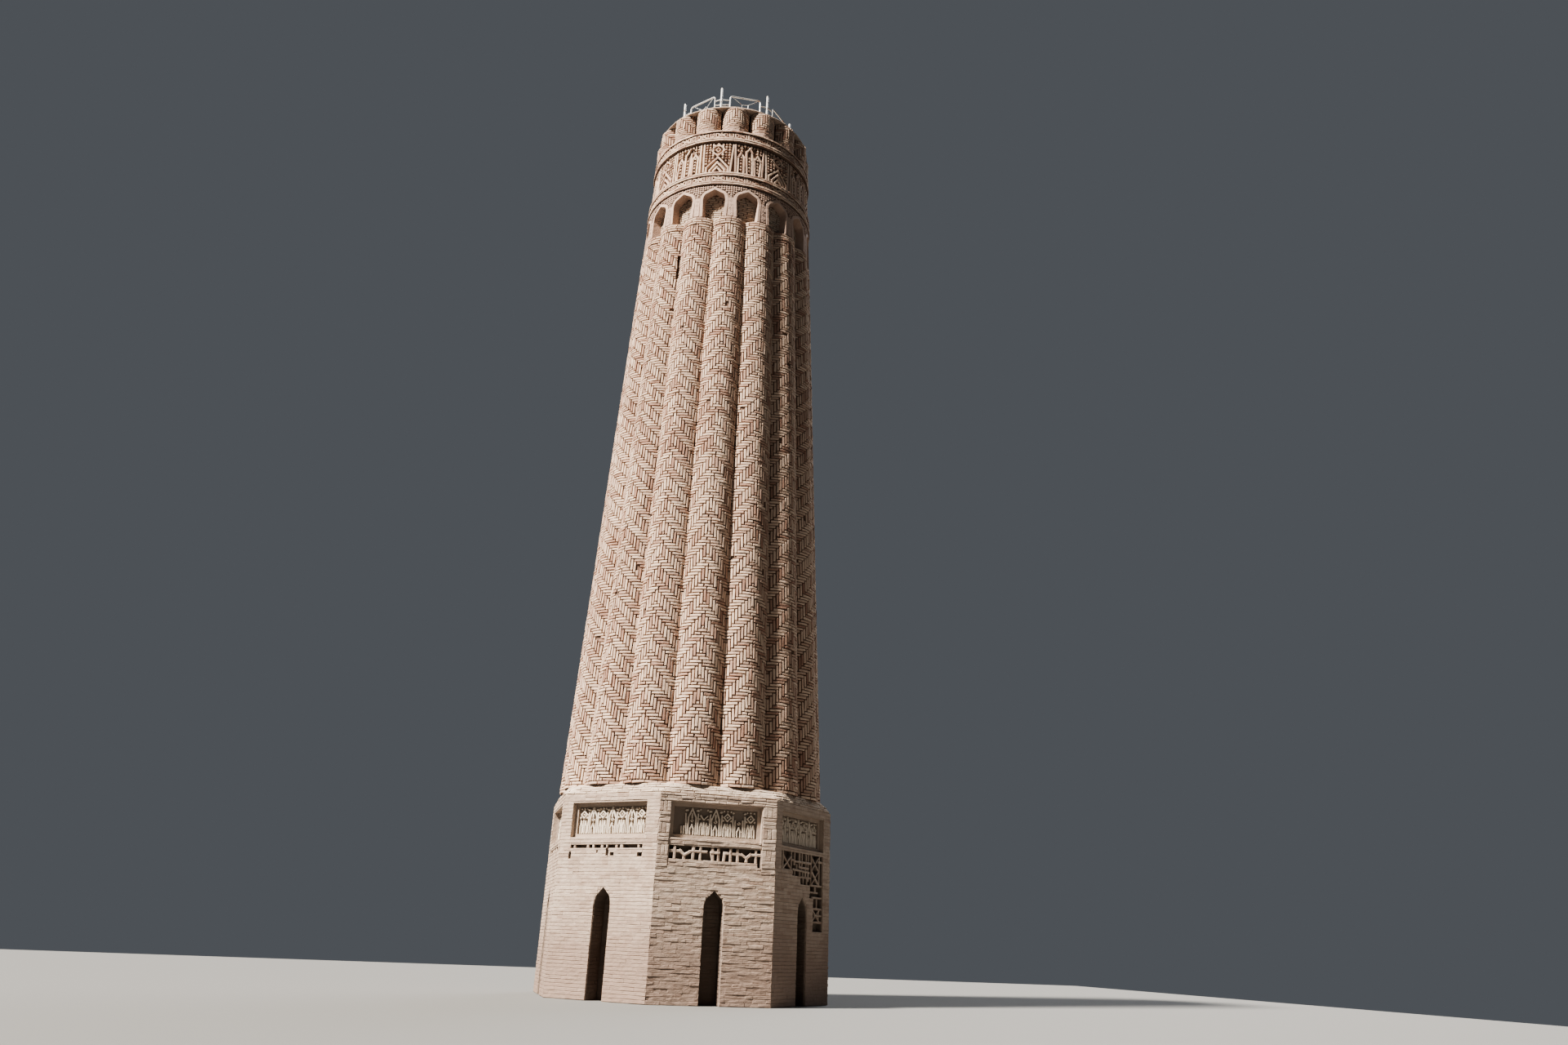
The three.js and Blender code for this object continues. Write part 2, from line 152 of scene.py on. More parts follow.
def lobe_surface(azimuth):
    def surface(across, height, out):
        crown = crown_radius(height)
        turn = across / (LOBE_BOW * crown)
        reach = LOBE_BOW * crown + out
        middle = crown * (1 - LOBE_BOW)
        return to_space(reach * np.sin(turn), middle + reach * np.cos(turn), height, azimuth)
    return surface


def face_surface(azimuth):
    def surface(across, height, out):
        return to_space(across, face_distance(height) + out, height, azimuth)
    return surface


def flat_surface(azimuth, distance, side=0.0, facing=0.0):
    """A plumb plane: facing 0 looks outwards, 90 looks along the wall, as a niche's left cheek does."""
    turn = math.radians(facing)

    def surface(across, height, out):
        along = side + across * math.cos(turn) + out * math.sin(turn)
        away = distance - across * math.sin(turn) + out * math.cos(turn)
        return to_space(along, away, height, azimuth)
    return surface


def drum_surface(azimuth, sink, middle):
    """A band of the tapering head, flattened at its middle height."""
    def surface(across, height, out):
        turn = across / crown_radius(middle)
        reach = crown_radius(height) - sink + out
        return to_space(reach * np.sin(turn), reach * np.cos(turn), height, azimuth)
    return surface


# %% [markdown]
# ## Moulds
#
# A brick is modelled once, face up, as by hand: a cube at its size, its top face inset and raised
# to leave a worn edge all round, and a cut across the middle where it has to follow a curve. The
# same mould then serves bricks of other sizes, because laying one moves its two ends apart and
# leaves its edges as wide as they were.
# %% Moulds
def select_only(*pieces):
    """Selects these pieces and nothing else. The first is the active one."""
    bpy.ops.object.select_all(action="DESELECT")
    for piece in pieces:
        piece.select_set(True)
    bpy.context.view_layer.objects.active = pieces[0]


def start(add, **place):
    """Adds a primitive with nothing else selected and opens it in edit mode."""
    bpy.ops.object.select_all(action="DESELECT")
    add(**place)
    bpy.ops.object.transform_apply(location=True, rotation=True, scale=True)
    bpy.ops.object.mode_set(mode="EDIT")
    return bpy.context.object


def pick(piece, test, kind="faces"):
    """Selects only the faces or edges that pass a test."""
    bpy.ops.mesh.select_all(action="DESELECT")
    shape = bmesh.from_edit_mesh(piece.data)
    for item in getattr(shape, kind):
        if test(item):
            item.select_set(True)
    bmesh.update_edit_mesh(piece.data)


def mould_brick(length, width, depth, edge, bends=False):
    """A worn edge falls by a share of its width. A brick that bends has a cut across its middle."""
    drop = EDGE_FALL * edge
    body = depth - drop
    piece = start(
        bpy.ops.mesh.primitive_cube_add, size=1, location=(0, 0, body / 2), scale=(length, width, body)
    )
    bpy.ops.mesh.select_mode(type="FACE")
    pick(piece, lambda face: face.normal.z > 0.9)
    bpy.ops.mesh.inset(thickness=edge, depth=drop)
    if bends:
        bpy.ops.mesh.select_all(action="SELECT")
        bpy.ops.mesh.bisect(plane_co=(0, 0, 0), plane_no=(1, 0, 0))
    bpy.ops.object.mode_set(mode="OBJECT")
    points = np.array([vertex.co for vertex in piece.data.vertices])
    faces = np.array([tuple(polygon.vertices) for polygon in piece.data.polygons])
    bpy.data.objects.remove(piece)
    return {"points": points, "faces": faces, "length": length, "width": width}


EDGE_FALL = 0.6
BRICK = {"length": 0.2485, "width": 0.046, "depth": 0.026, "edge": 0.007}
shaft_mould = mould_brick(**BRICK)
bent_mould = mould_brick(**BRICK, bends=True)
print("faces on a brick:", len(shaft_mould["faces"]), "and on one that bends:", len(bent_mould["faces"]))
print("brick depth:", shaft_mould["points"][:, 2].min(), shaft_mould["points"][:, 2].max())

# %% [markdown]
# ## Laying
#
# A spot says where one brick goes: across, up, length, width and turn. Laying sets a copy of the
# mould on every spot at once with arrays of numbers, adds the wear of centuries, and wraps it all on
# the wall. Wear moves each corner, askew turns the brick, play sets it in or out, chip takes
# something off its ends, and ridge sets whole lengths of a course in or out. Each brick gets a tone
# between 0 and 1, kept as an attribute, and its finish reads that to choose how pale or how red the
# brick was fired.
# %% Laying
RIDGES_UP, RIDGES_ALONG = (67, 31), (2.1, -3.7)  # how fast two waves run up the wall and along it


def lay(mould, spots, surface, seed, sink=0.0, wear=0.002, askew=1.1, play=0.003, chip=0.0, ridge=0.0):
    """Sets one brick on every spot. Gives the points, the faces, and a tone for each point."""
    random = np.random.default_rng(seed)
    across, height, length, width, turn = (column[:, None] for column in np.array(spots, float).T)
    x, y, z = mould["points"].T[:, None, :]
    shape = (len(spots), len(mould["points"]))
    chips = random.uniform(0, chip, (2, len(spots), 1))
    x = x + np.sign(x) * (length - mould["length"]) / 2 - (x > 0) * chips[0] + (x < 0) * chips[1]
    y = y + np.sign(y) * (width - mould["width"]) / 2
    turn = np.radians(turn + random.normal(0, askew, (len(spots), 1)))
    side = across + x * np.cos(turn) - y * np.sin(turn) + random.normal(0, wear, shape)
    rise = height + x * np.sin(turn) + y * np.cos(turn) + random.normal(0, wear, shape)
    shift = random.uniform(-play, play, (len(spots), 1)) + random.normal(0, wear / 2, shape)
    first, second = (np.sin(up * height + along * side) for up, along in zip(RIDGES_UP, RIDGES_ALONG))
    shift = shift + ridge * first * second
    out = z - sink + (z > 0) * shift
    points = surface(side, rise, out).reshape(-1, 3)
    step = shape[1] * np.arange(len(spots))[:, None, None]
    faces = (mould["faces"][None] + step).reshape(-1, 4)
    tones = np.repeat(random.random(len(spots)), shape[1])
    return points, faces, tones


def build(name, parts, material):
    """Joins laid parts into one piece, and hands it to the frame."""
    counts = np.cumsum([0] + [len(points) for points, _, _ in parts])
    points = np.concatenate([part[0] for part in parts])
    faces = np.concatenate([part[1] + first for part, first in zip(parts, counts)])
    mesh = bpy.data.meshes.new(name)
    mesh.from_pydata(points, [], faces.tolist())
    tone = mesh.attributes.new("tone", "FLOAT", "POINT")
    tone.data.foreach_set("value", np.concatenate([part[2] for part in parts]).astype(np.float32))
    piece = bpy.data.objects.new(name, mesh)
    bpy.context.scene.collection.objects.link(piece)
    return hand_over(piece, material)


def hand_over(piece, material):
    piece.data.materials.clear()
    piece.data.materials.append(material)
    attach(piece, "root")
    return piece


# %% [markdown]
# ## Finishes: shared effects
#
# Brick, plaster and cement all weather in the same few ways, and the plinth's recesses also get painted
# shade. Each way could be built again in every material, but a node group with named inputs is made once,
# and each material then sets its own colours and amounts. A few helpers come first, because every group
# adds nodes and links them.
# %% Node helpers
def add_node(tree, kind, sockets=None, **settings):
    node = tree.nodes.new("ShaderNode" + kind)
    for key, value in settings.items():
        setattr(node, key, value)
    for key, value in (sockets or {}).items():
        wire(tree, value, node.inputs[key])
    return node


def wire(tree, source, target):
    """Links a socket to an input, or sets the input to a plain value."""
    if isinstance(source, bpy.types.NodeSocket):
        tree.links.new(source, target)
    else:
        target.default_value = source


def blend_colour(tree, share, first, second):
    node = add_node(tree, "Mix", data_type="RGBA")
    for index, source in ((0, share), (6, first), (7, second)):
        wire(tree, source, node.inputs[index])
    return node.outputs[2]


def arithmetic(tree, operation, first, second=0.0, clamp=False):
    node = add_node(tree, "Math", operation=operation, use_clamp=clamp)
    wire(tree, first, node.inputs[0])
    wire(tree, second, node.inputs[1])
    return node.outputs[0]


def stretch(tree, value, low, high):
    """Maps low to 0 and high to 1."""
    node = add_node(tree, "MapRange", {"Value": value, "From Min": low, "From Max": high})
    return node.outputs[0]


def noise(tree, place, scale, detail=3.0):
    return add_node(tree, "TexNoise", {"Vector": place, "Scale": scale, "Detail": detail}).outputs[0]


def new_group(name, inputs, outputs):
    tree = bpy.data.node_groups.new(name, "ShaderNodeTree")
    for label, kind, value in inputs:
        socket = tree.interface.new_socket(label, in_out="INPUT", socket_type="NodeSocket" + kind)
        socket.default_value = value
    for label, kind in outputs:
        tree.interface.new_socket(label, in_out="OUTPUT", socket_type="NodeSocket" + kind)
    source = tree.nodes.new("NodeGroupInput")
    target = tree.nodes.new("NodeGroupOutput")
    return tree, source.outputs, target.inputs


# %% [markdown]
# ### Fired clay
#
# No two bricks leave a kiln alike. A picture of brickwork would show its repeats on so large a tower,
# so this group makes the colours: one for each brick from its tone, drifting over metres and speckled
# over millimetres. Its height has the flat hollows that wind and rain wear into a wall.
# %% Fired clay
clay_inputs = [
    ("Pale", "Color", (0.6, 0.5, 0.4, 1)),
    ("Deep", "Color", (0.4, 0.2, 0.15, 1)),
    ("Spread", "Float", 0.6),
    ("Speckle", "Float", 0.25),
    ("Hollows", "Float", 0.5),
    ("Patches", "Float", 0.22),
]
clay, given, result = new_group("Fired clay", clay_inputs, [("Color", "Color"), ("Height", "Float")])
place = add_node(clay, "TexCoord").outputs["Object"]
tone = add_node(clay, "Attribute", attribute_name="tone").outputs["Fac"]
drift = stretch(clay, noise(clay, place, 0.45, 2), 0.3, 0.7)
patch = stretch(clay, noise(clay, place, 7, 3), 0.3, 0.75)
share = arithmetic(clay, "MULTIPLY", arithmetic(clay, "POWER", tone, 2.0), given["Spread"])
share = arithmetic(clay, "ADD", share, arithmetic(clay, "MULTIPLY", drift, 0.2))
share = arithmetic(clay, "ADD", share, arithmetic(clay, "MULTIPLY", patch, given["Patches"]), clamp=True)
fired = blend_colour(clay, share, given["Pale"], given["Deep"])
fine = noise(clay, place, 70, 4)
dark = arithmetic(clay, "MULTIPLY", stretch(clay, fine, 0.5, 0.8), given["Speckle"])
speckled = blend_colour(clay, dark, fired, (0.12, 0.07, 0.05, 1))
wire(clay, speckled, result["Color"])
flat = add_node(clay, "Mapping", {"Vector": place, "Scale": (1, 1, 2.2)}).outputs[0]
hollow = arithmetic(clay, "MULTIPLY", noise(clay, flat, 9, 3), given["Hollows"])
rough = arithmetic(clay, "ADD", fine, arithmetic(clay, "MULTIPLY", patch, 1.5))
wire(clay, arithmetic(clay, "ADD", rough, arithmetic(clay, "MULTIPLY", hollow, 4)), result["Height"])
print("group:", clay.name, len(clay.nodes), "nodes")

# %% [markdown]
# ### Weathering
#
# Dust settles on what faces up, and rain draws streaks down a wall. Both could be painted, but the
# surface's own normal already says where dust can lie, and noise stretched tall looks like streaks.
# %% Weathering
weather_inputs = [
    ("Color", "Color", (0.5, 0.5, 0.5, 1)),
    ("Dust", "Color", (0.7, 0.62, 0.52, 1)),
    ("Stain", "Color", (0.2, 0.15, 0.12, 1)),
    ("Dusting", "Float", 0.5),
    ("Staining", "Float", 0.2),
]
weather, given, result = new_group("Weathering", weather_inputs, [("Color", "Color")])
place = add_node(weather, "TexCoord").outputs["Object"]
normal = add_node(weather, "NewGeometry").outputs["Normal"]
lift = add_node(weather, "SeparateXYZ", {0: normal}).outputs["Z"]
soft = stretch(weather, noise(weather, place, 5, 4), 0.25, 0.6)
dusty = arithmetic(weather, "MULTIPLY", stretch(weather, lift, 0.1, 0.9), soft)
dusted = blend_colour(
    weather, arithmetic(weather, "MULTIPLY", dusty, given["Dusting"]), given["Color"], given["Dust"]
)
drawn = add_node(weather, "Mapping", {"Vector": place, "Scale": (2.2, 2.2, 0.22)}).outputs[0]
streak = stretch(weather, noise(weather, drawn, 1.4, 5), 0.5, 0.75)
stained = blend_colour(
    weather, arithmetic(weather, "MULTIPLY", streak, given["Staining"]), dusted, given["Stain"]
)
wire(weather, stained, result["Color"])
print("group:", weather.name, len(weather.nodes), "nodes")

# %% [markdown]
# ### Painted recess shade
#
# Painted shade: what lies deep behind a face of the plinth, such as the hollows of its pierced brickwork
# and its niches, is darkened in its colour as if shade fell there. A painted mask would have to be made for
# every face. Here the group works out how far a point lies behind the nearest face, and darkens it by that.
# The panels above get no painted shade.
# %% Painted recess shade
PAINTED_SHADE_TOP = 2.95
PAINTED_SHADE_FROM, PAINTED_SHADE_FULL = 0.012, 0.045
painted_shade_inputs = [("Color", "Color", (0.5, 0.5, 0.5, 1)), ("Amount", "Float", 0.6)]
painted_recess_shade, given, result = new_group("Painted recess shade", painted_shade_inputs, [("Color", "Color")])
axes = add_node(painted_recess_shade, "SeparateXYZ", {0: add_node(painted_recess_shade, "TexCoord").outputs["Object"]}).outputs
ahead = arithmetic(painted_recess_shade, "MULTIPLY", axes["Y"], -1.0)
face_turn = math.radians(FACE_TURN)
turned = arithmetic(painted_recess_shade, "ADD", arithmetic(painted_recess_shade, "ARCTAN2", axes["X"], ahead), face_turn / 2)
facing = arithmetic(painted_recess_shade, "SNAP", turned, face_turn)
reach = arithmetic(
    painted_recess_shade, "ADD",
    arithmetic(painted_recess_shade, "MULTIPLY", axes["X"], arithmetic(painted_recess_shade, "SINE", facing)),
    arithmetic(painted_recess_shade, "MULTIPLY", ahead, arithmetic(painted_recess_shade, "COSINE", facing)),
)
wall = arithmetic(painted_recess_shade, "SUBTRACT", FACE_AT_GROUND, arithmetic(painted_recess_shade, "MULTIPLY", axes["Z"], FACE_BATTER))
depth = stretch(painted_recess_shade, arithmetic(painted_recess_shade, "SUBTRACT", wall, reach), PAINTED_SHADE_FROM, PAINTED_SHADE_FULL)
under_panels = arithmetic(painted_recess_shade, "LESS_THAN", axes["Z"], PAINTED_SHADE_TOP)
share = arithmetic(painted_recess_shade, "MULTIPLY", arithmetic(painted_recess_shade, "MULTIPLY", depth, under_panels), given["Amount"])
# Painted shade: the deeper a point lies behind the face, the nearer its colour goes to this near black.
wire(painted_recess_shade, blend_colour(painted_recess_shade, share, given["Color"], (0.05, 0.037, 0.03, 1)), result["Color"])
print("group:", painted_recess_shade.name, len(painted_recess_shade.nodes), "nodes")

# %% [markdown]
# ### Low brick
#
# Low on the plinth the bricks turn darker and redder towards the ground. A second material would have to
# end in a straight line. So the height blends one colour into the other, and noise makes the edge between
# them ragged.
# %% Low brick
LOW_FROM, LOW_FULL, LOW_RAGGED = 2.6, 1.5, 1.6
low_inputs = [
    ("Color", "Color", (0.5, 0.5, 0.5, 1)),
    ("Low", "Color", (0.4, 0.3, 0.2, 1)),
    ("Amount", "Float", 0.8),
]
low_brick, given, result = new_group("Low brick", low_inputs, [("Color", "Color")])
place = add_node(low_brick, "TexCoord").outputs["Object"]
height = add_node(low_brick, "SeparateXYZ", {0: place}).outputs["Z"]
ragged = arithmetic(low_brick, "MULTIPLY", noise(low_brick, place, 1.1, 3), LOW_RAGGED)
edge = arithmetic(low_brick, "ADD", height, ragged)
share = arithmetic(low_brick, "MULTIPLY", stretch(low_brick, edge, LOW_FROM, LOW_FULL), given["Amount"])
wire(low_brick, blend_colour(low_brick, share, given["Color"], given["Low"]), result["Color"])
print("group:", low_brick.name, len(low_brick.nodes), "nodes")

# %% [markdown]
# ## Finishes: materials
#
# Each finish of the real tower is one material. The shaft bricks run from cream to a pinkish brown,
# and the mortar lies deep between them. The plinth is greyer, with joints that are nearly full and
# of the same colour. The plaster round the small arches is the colour of the brick, the carved
# panels are paler, and the steel is a pipe with a dull zinc skin. One function makes all the masonry,
# so that its finishes stay a family, and a pale and a deep colour set each of them apart.
# %% Materials
def shared(tree, effect, sockets):
    """Adds a shared effect. Its sockets exist only once the node has its group."""
    node = add_node(tree, "Group", node_tree=effect)
    for key, value in sockets.items():
        wire(tree, value, node.inputs[key])
    return node


def new_material(name):
    material = bpy.data.materials.new(name)
    material.use_nodes = True
    return material, material.node_tree, material.node_tree.nodes["Principled BSDF"].inputs


def masonry(
    name, pale, deep, spread=0.6, dusting=0.5, bump=0.5,
    hollows=0.0, speckle=0.25, patches=0.22, plinth_low=None,
):
    """plinth_low is the colour low on the plinth. Only the plinth's finishes have it, and with it the
    painted shade of their recesses.
    """
    material, tree, inputs = new_material(name)
    amounts = {"Pale": (*pale, 1), "Deep": (*deep, 1), "Spread": spread, "Speckle": speckle}
    amounts |= {"Hollows": hollows, "Patches": patches}
    fired = shared(tree, clay, amounts)
    colour = shared(tree, weather, {"Color": fired.outputs["Color"], "Dusting": dusting}).outputs["Color"]
    if plinth_low:
        # The plinth's finishes get the low colour, and painted shade deep in their recesses.
        for effect, sockets in ((low_brick, {"Low": (*plinth_low, 1)}), (painted_recess_shade, {})):
            colour = shared(tree, effect, {"Color": colour, **sockets}).outputs["Color"]
    height = fired.outputs["Height"]
    relief = add_node(tree, "Bump", {"Height": height, "Strength": bump, "Distance": 0.006})
    wire(tree, colour, inputs["Base Color"])
    wire(tree, relief.outputs[0], inputs["Normal"])
    wire(tree, 0.92, inputs["Roughness"])
    wire(tree, 0.2, inputs["Specular IOR Level"])
    return material


def steel(name, zinc, rust, roughness):
    """Where rust blooms, the pipe is redder and loses its shine."""
    material, tree, inputs = new_material(name)
    place = add_node(tree, "TexCoord").outputs["Object"]
    bloom = stretch(tree, noise(tree, place, 9, 5), 0.52, 0.72)
    shine = arithmetic(tree, "MULTIPLY", arithmetic(tree, "SUBTRACT", 1.0, bloom), 0.7)
    grain = noise(tree, place, 120, 3)
    relief = add_node(tree, "Bump", {"Height": grain, "Strength": 0.2, "Distance": 0.001})
    wire(tree, blend_colour(tree, bloom, zinc, rust), inputs["Base Color"])
    wire(tree, shine, inputs["Metallic"])
    wire(tree, relief.outputs[0], inputs["Normal"])
    wire(tree, roughness, inputs["Roughness"])
    return material


shaft_brick = masonry("shaft brick", (0.63, 0.482, 0.37), (0.32, 0.188, 0.136), spread=0.8)
joint_mortar = masonry("joint mortar", (0.16, 0.1, 0.072), (0.088, 0.056, 0.04), dusting=0.25, bump=0.8)
# Pale cream brick of the small niches, made a little darker as painted shade for the depth of the niches.
niche_brick_with_painted_shade = masonry("niche brick with painted shade", (0.53, 0.43, 0.34), (0.35, 0.25, 0.185), spread=0.5)
plinth_brick = masonry(
    "plinth brick", (0.45, 0.36, 0.29), (0.27, 0.19, 0.145), spread=0.5, bump=0.8, hollows=0.5,
    patches=0.4, plinth_low=(0.235, 0.165, 0.13),
)
slope_brick = masonry(
    "slope brick", (0.44, 0.345, 0.27), (0.27, 0.195, 0.15), bump=0.9, hollows=0.5, patches=0.4
)
plinth_mortar = masonry(
    "plinth mortar", (0.39, 0.31, 0.25), (0.27, 0.205, 0.16), bump=0.8,
    patches=0.4, plinth_low=(0.31, 0.24, 0.19),
)
arch_plaster = masonry("arch plaster", (0.5, 0.36, 0.285), (0.36, 0.24, 0.185), spread=0.3, patches=0.4)
arcade_ground = masonry("arcade ground", (0.21, 0.14, 0.105), (0.13, 0.085, 0.06), dusting=0.3)
plaster = masonry(
    "carved plaster", (0.592, 0.512, 0.424), (0.432, 0.352, 0.28), spread=0.3, speckle=0.1
)
plaster_ground = masonry("plaster ground", (0.23, 0.185, 0.15), (0.15, 0.115, 0.09), dusting=0.2)
relief_ground = masonry("relief ground", (0.192, 0.124, 0.092), (0.12, 0.076, 0.056), dusting=0.2)
cement = masonry("cement", (0.432, 0.336, 0.272), (0.272, 0.2, 0.16), speckle=0.3, bump=0.8)
zinc_pipe = steel("zinc pipe", (0.5, 0.5, 0.49, 1), (0.22, 0.12, 0.07, 1), roughness=0.45)
print("materials:", len(bpy.data.materials))

# %% [markdown]
# ## The shaft
#
# The shaft carries a herringbone of long thin bricks, mirrored about the crown of every lobe, so
# that steps run down to both sides. On a grid one joint and one brick wide, an upright brick takes
# four rows of one column, a flat brick four columns of one row, and each column starts one row
# lower than its neighbour. At the valleys the bricks are cut. All lobes share one setting out, and
# a few level courses finish each at its foot and head. Here and there half a brick is lost.
# %% Herringbone
PITCH = 0.0675
JOINT = 0.0215
REPEAT, SPAN = 8, 4  # rows after which the pattern comes again, and rows that an upright brick takes
COLUMNS = 12
LEAST_CUT, LEAST_WIDTH = 0.022, 0.008


def herringbone(half_width, bottom, top, phase):
    """half_width gives where the wall ends, for a side of -1 or 1 and a height."""
    spots = []

    def cut(left, right, low, high):
        low, high = max(low, bottom), min(high, top)
        middle = (low + high) / 2
        left, right = max(left, -half_width(-1, middle)), min(right, half_width(1, middle))
        if right - left < LEAST_CUT or high - low < LEAST_CUT:
            return
        wide, tall = right - left - JOINT, high - low - JOINT
        spot = (max(wide, tall), min(wide, tall), 0 if wide >= tall else 90)
        if spot[1] > LEAST_WIDTH:
            spots.append(((left + right) / 2, middle, *spot))

    rows = range(int(bottom / PITCH) - REPEAT, int(top / PITCH) + REPEAT)
    for column in range(COLUMNS):
        sides = (1,) if column == 0 else (-1, 1)
        for row in rows:
            place = (column + row - phase) % REPEAT
            if place == 0:
                wide, tall = 1, SPAN
            elif place == SPAN and column > 0:
                wide, tall = SPAN, 1
            else:
                continue
            for side in sides:
                ends = sorted((side * (column - 0.5) * PITCH, side * (column + wide - 0.5) * PITCH))
                cut(*ends, row * PITCH, (row + tall) * PITCH)
    # Level bricks fill the crown between two upright ones. The two widest rows of them are split.
    for row in rows:
        place = (row - phase) % REPEAT
        if place >= SPAN:
            reach = (REPEAT - 0.5 - place) * PITCH
            split = PITCH / 2 if row % 2 else -PITCH / 2
            ends = (-reach, split, reach) if place < SPAN + 2 else (-reach, reach)
            for left, right in zip(ends, ends[1:]):
                cut(left, right, row * PITCH, (row + 1) * PITCH)
    return spots


# %% [markdown]
# ## Courses and holes
#
# The plain walls are laid in level courses with broken joints. An Array modifier could repeat one
# brick, but real courses hold half bricks, and they are cut back wherever a panel or a niche opens
# the wall. So they are set out in code, and give the same spots that the shaft's bricks have.
# %% Courses
LEAST_BRICK = 0.028
HALF_BRICKS = 0.1  # the share of bricks that are halves
START_PLAY, LENGTH_PLAY = 0.03, 0.015


def outside(piece, hole):
    """What is left of a rectangle (left, right, low, high) outside a hole."""
    left, right, low, high = piece
    hole_left, hole_right, hole_low, hole_high = hole
    if right <= hole_left or left >= hole_right or high <= hole_low or low >= hole_high:
        return [piece]
    inner_left, inner_right = max(left, hole_left), min(right, hole_right)
    parts = [(left, hole_left, low, high), (hole_right, right, low, high)]
    parts += [(inner_left, inner_right, low, hole_low), (inner_left, inner_right, hole_high, high)]
    return [part for part in parts if part[1] > part[0] and part[3] > part[2]]


def level_ends(left, right):
    """Ends that are the same at every height."""
    return lambda height: (left, right)


def courses(ends, bottom, top, seed, holes=None, course=0.069, joint=0.012, bed=0.012, stretcher=0.272):
    """ends gives left and right at a height, and holes the holes that a course meets."""
    random = np.random.default_rng(seed)
    rows = round((top - bottom) / course)
    course = (top - bottom) / rows
    spots = []
    for row in range(rows):
        low, high = bottom + row * course, bottom + (row + 1) * course
        left_end, right_end = ends((low + high) / 2)
        left = left_end - (stretcher / 2 if row % 2 else 0) - random.uniform(0, START_PLAY)
        while left < right_end:
            share = 0.5 if random.random() < HALF_BRICKS else 1
            right = left + stretcher * share + random.uniform(-LENGTH_PLAY, LENGTH_PLAY)
            pieces = [(max(left, left_end), min(right, right_end), low, high)]
            for hole in holes(low, high) if holes else ():
                pieces = [part for piece in pieces for part in outside(piece, hole)]
            for a, b, c, d in pieces:
                if b - a > LEAST_BRICK and d - c > LEAST_BRICK:
                    spots.append(((a + b) / 2, (c + d) / 2, b - a - joint, d - c - bed, 0))
            left = right
    return spots


# %% [markdown]
# ## Strokes
#
# The ornament is cut brick and carved plaster. Each pattern could be modelled as a piece of its own,
# but all of them are bars: a bar between two points, a square ring, a pointed lancet, a dot. These
# functions draw them as spots too, so a pattern is laid in the same way as a wall.
# %% Strokes
def bar(start, end, width):
    """A bar that runs on past both points by half its width, so that corners close."""
    run, rise = end[0] - start[0], end[1] - start[1]
    middle = ((start[0] + end[0]) / 2, (start[1] + end[1]) / 2)
    return (*middle, math.hypot(run, rise) + width, width, math.degrees(math.atan2(rise, run)))


def strokes(points, width):
    return [bar(start, end, width) for start, end in zip(points, points[1:])]


def square_ring(x, y, half, width, turn=0):
    angles = [math.radians(turn + 45 + 90 * quarter) for quarter in range(5)]
    reach = half * math.sqrt(2)
    return strokes([(x + reach * math.cos(angle), y + reach * math.sin(angle)) for angle in angles], width)


def dot(x, y, size):
    """A small square that stands on its corner."""
    return [(x, y, size, size, 45)]


def cross(x, y, length, width):
    return [(x, y, length, width, 0), (x, y, length, width, 90)]


def upright(x, low, high, width):
    return (x, (low + high) / 2, high - low, width, 90)


def lancet(x, foot, half, springing, apex, width):
    outline = [(x - half, foot), (x - half, springing), (x, apex), (x + half, springing), (x + half, foot)]
    return strokes(outline, width)


def shifted(spots, across, up):
    return [(spot[0] + across, spot[1] + up, *spot[2:]) for spot in spots]


print("spots of a lancet:", len(lancet(0, 0, 0.1, 0.3, 0.4, 0.02)))

# %% [markdown]
# ## The outline of an arch
#
# The tall niches and the small ones have one kind of arch: a jamb, a curved haunch and a straight
# slope up to the point. Arcs could draw it, but a curve between three points and one line follow
# it with fewer numbers. The outline also tells how wide the opening is at any height, and that is
# where the bricks stop.
# %% Arch outline
HAUNCH_OUT, HAUNCH_UP, HAUNCH_PULL, HAUNCH_STEPS = 0.8, 0.58, 0.36, 6


def arch_outline(half, foot_half, foot, springing, apex):
    """Half widths and heights up one side: a jamb, a curved haunch, a straight slope."""
    t = np.linspace(0, 1, HAUNCH_STEPS)
    rise = apex - springing
    out = half * ((1 - t) ** 2 + 2 * t * (1 - t) + HAUNCH_OUT * t**2)
    up = springing + rise * (HAUNCH_PULL * 2 * t * (1 - t) + HAUNCH_UP * t**2)
    return np.array([foot_half, *out, 0.0]), np.array([foot, *up, apex])


def arch_half(height, outline):
    return float(np.interp(height, outline[1], outline[0]))


NICHE_HALF, NICHE_SPRINGING, NICHE_APEX, NICHE_DEPTH = 0.2, 1.68, 2.06, 0.36
niche_outline = arch_outline(NICHE_HALF, NICHE_HALF, 0.0, NICHE_SPRINGING, NICHE_APEX)
print("niche half width at 1.9 m:", round(arch_half(1.9, niche_outline), 3))

# %% [markdown]
# ## Laying the shaft
#
# Each lobe is laid from the same setting out, with its own draw of wear. One lobe could be copied
# sixteen times, but then its flaws would come again on each. Level courses close a lobe at the foot
# and at the head, the slot window cuts two lobes back, and a few bricks have lost one of their
# halves. The solid behind shows between the bricks, so it takes the finish of the mortar.
# %% Lay the shaft
SLOT_VALLEY = -45
SLOT_HALF, SLOT_FOOT, SLOT_TOP = 0.062, 16.37, 17.08
LOBE_PHASE = 5
FOOT_ROWS, HEAD_ROWS = 1, 3
HEAD_GAP = 0.006
BROKEN_SHARE = 0.006
bricks_foot, bricks_head = SHAFT_FOOT + CLEARANCE, SHAFT_TOP - HEAD_GAP
herringbone_foot = bricks_foot + FOOT_ROWS * PITCH
herringbone_head = bricks_head - HEAD_ROWS * PITCH


def lobe_ends(height):
    reach = LOBE_SWEEP * LOBE_BOW * crown_radius(height) - CLEARANCE
    return -reach, reach


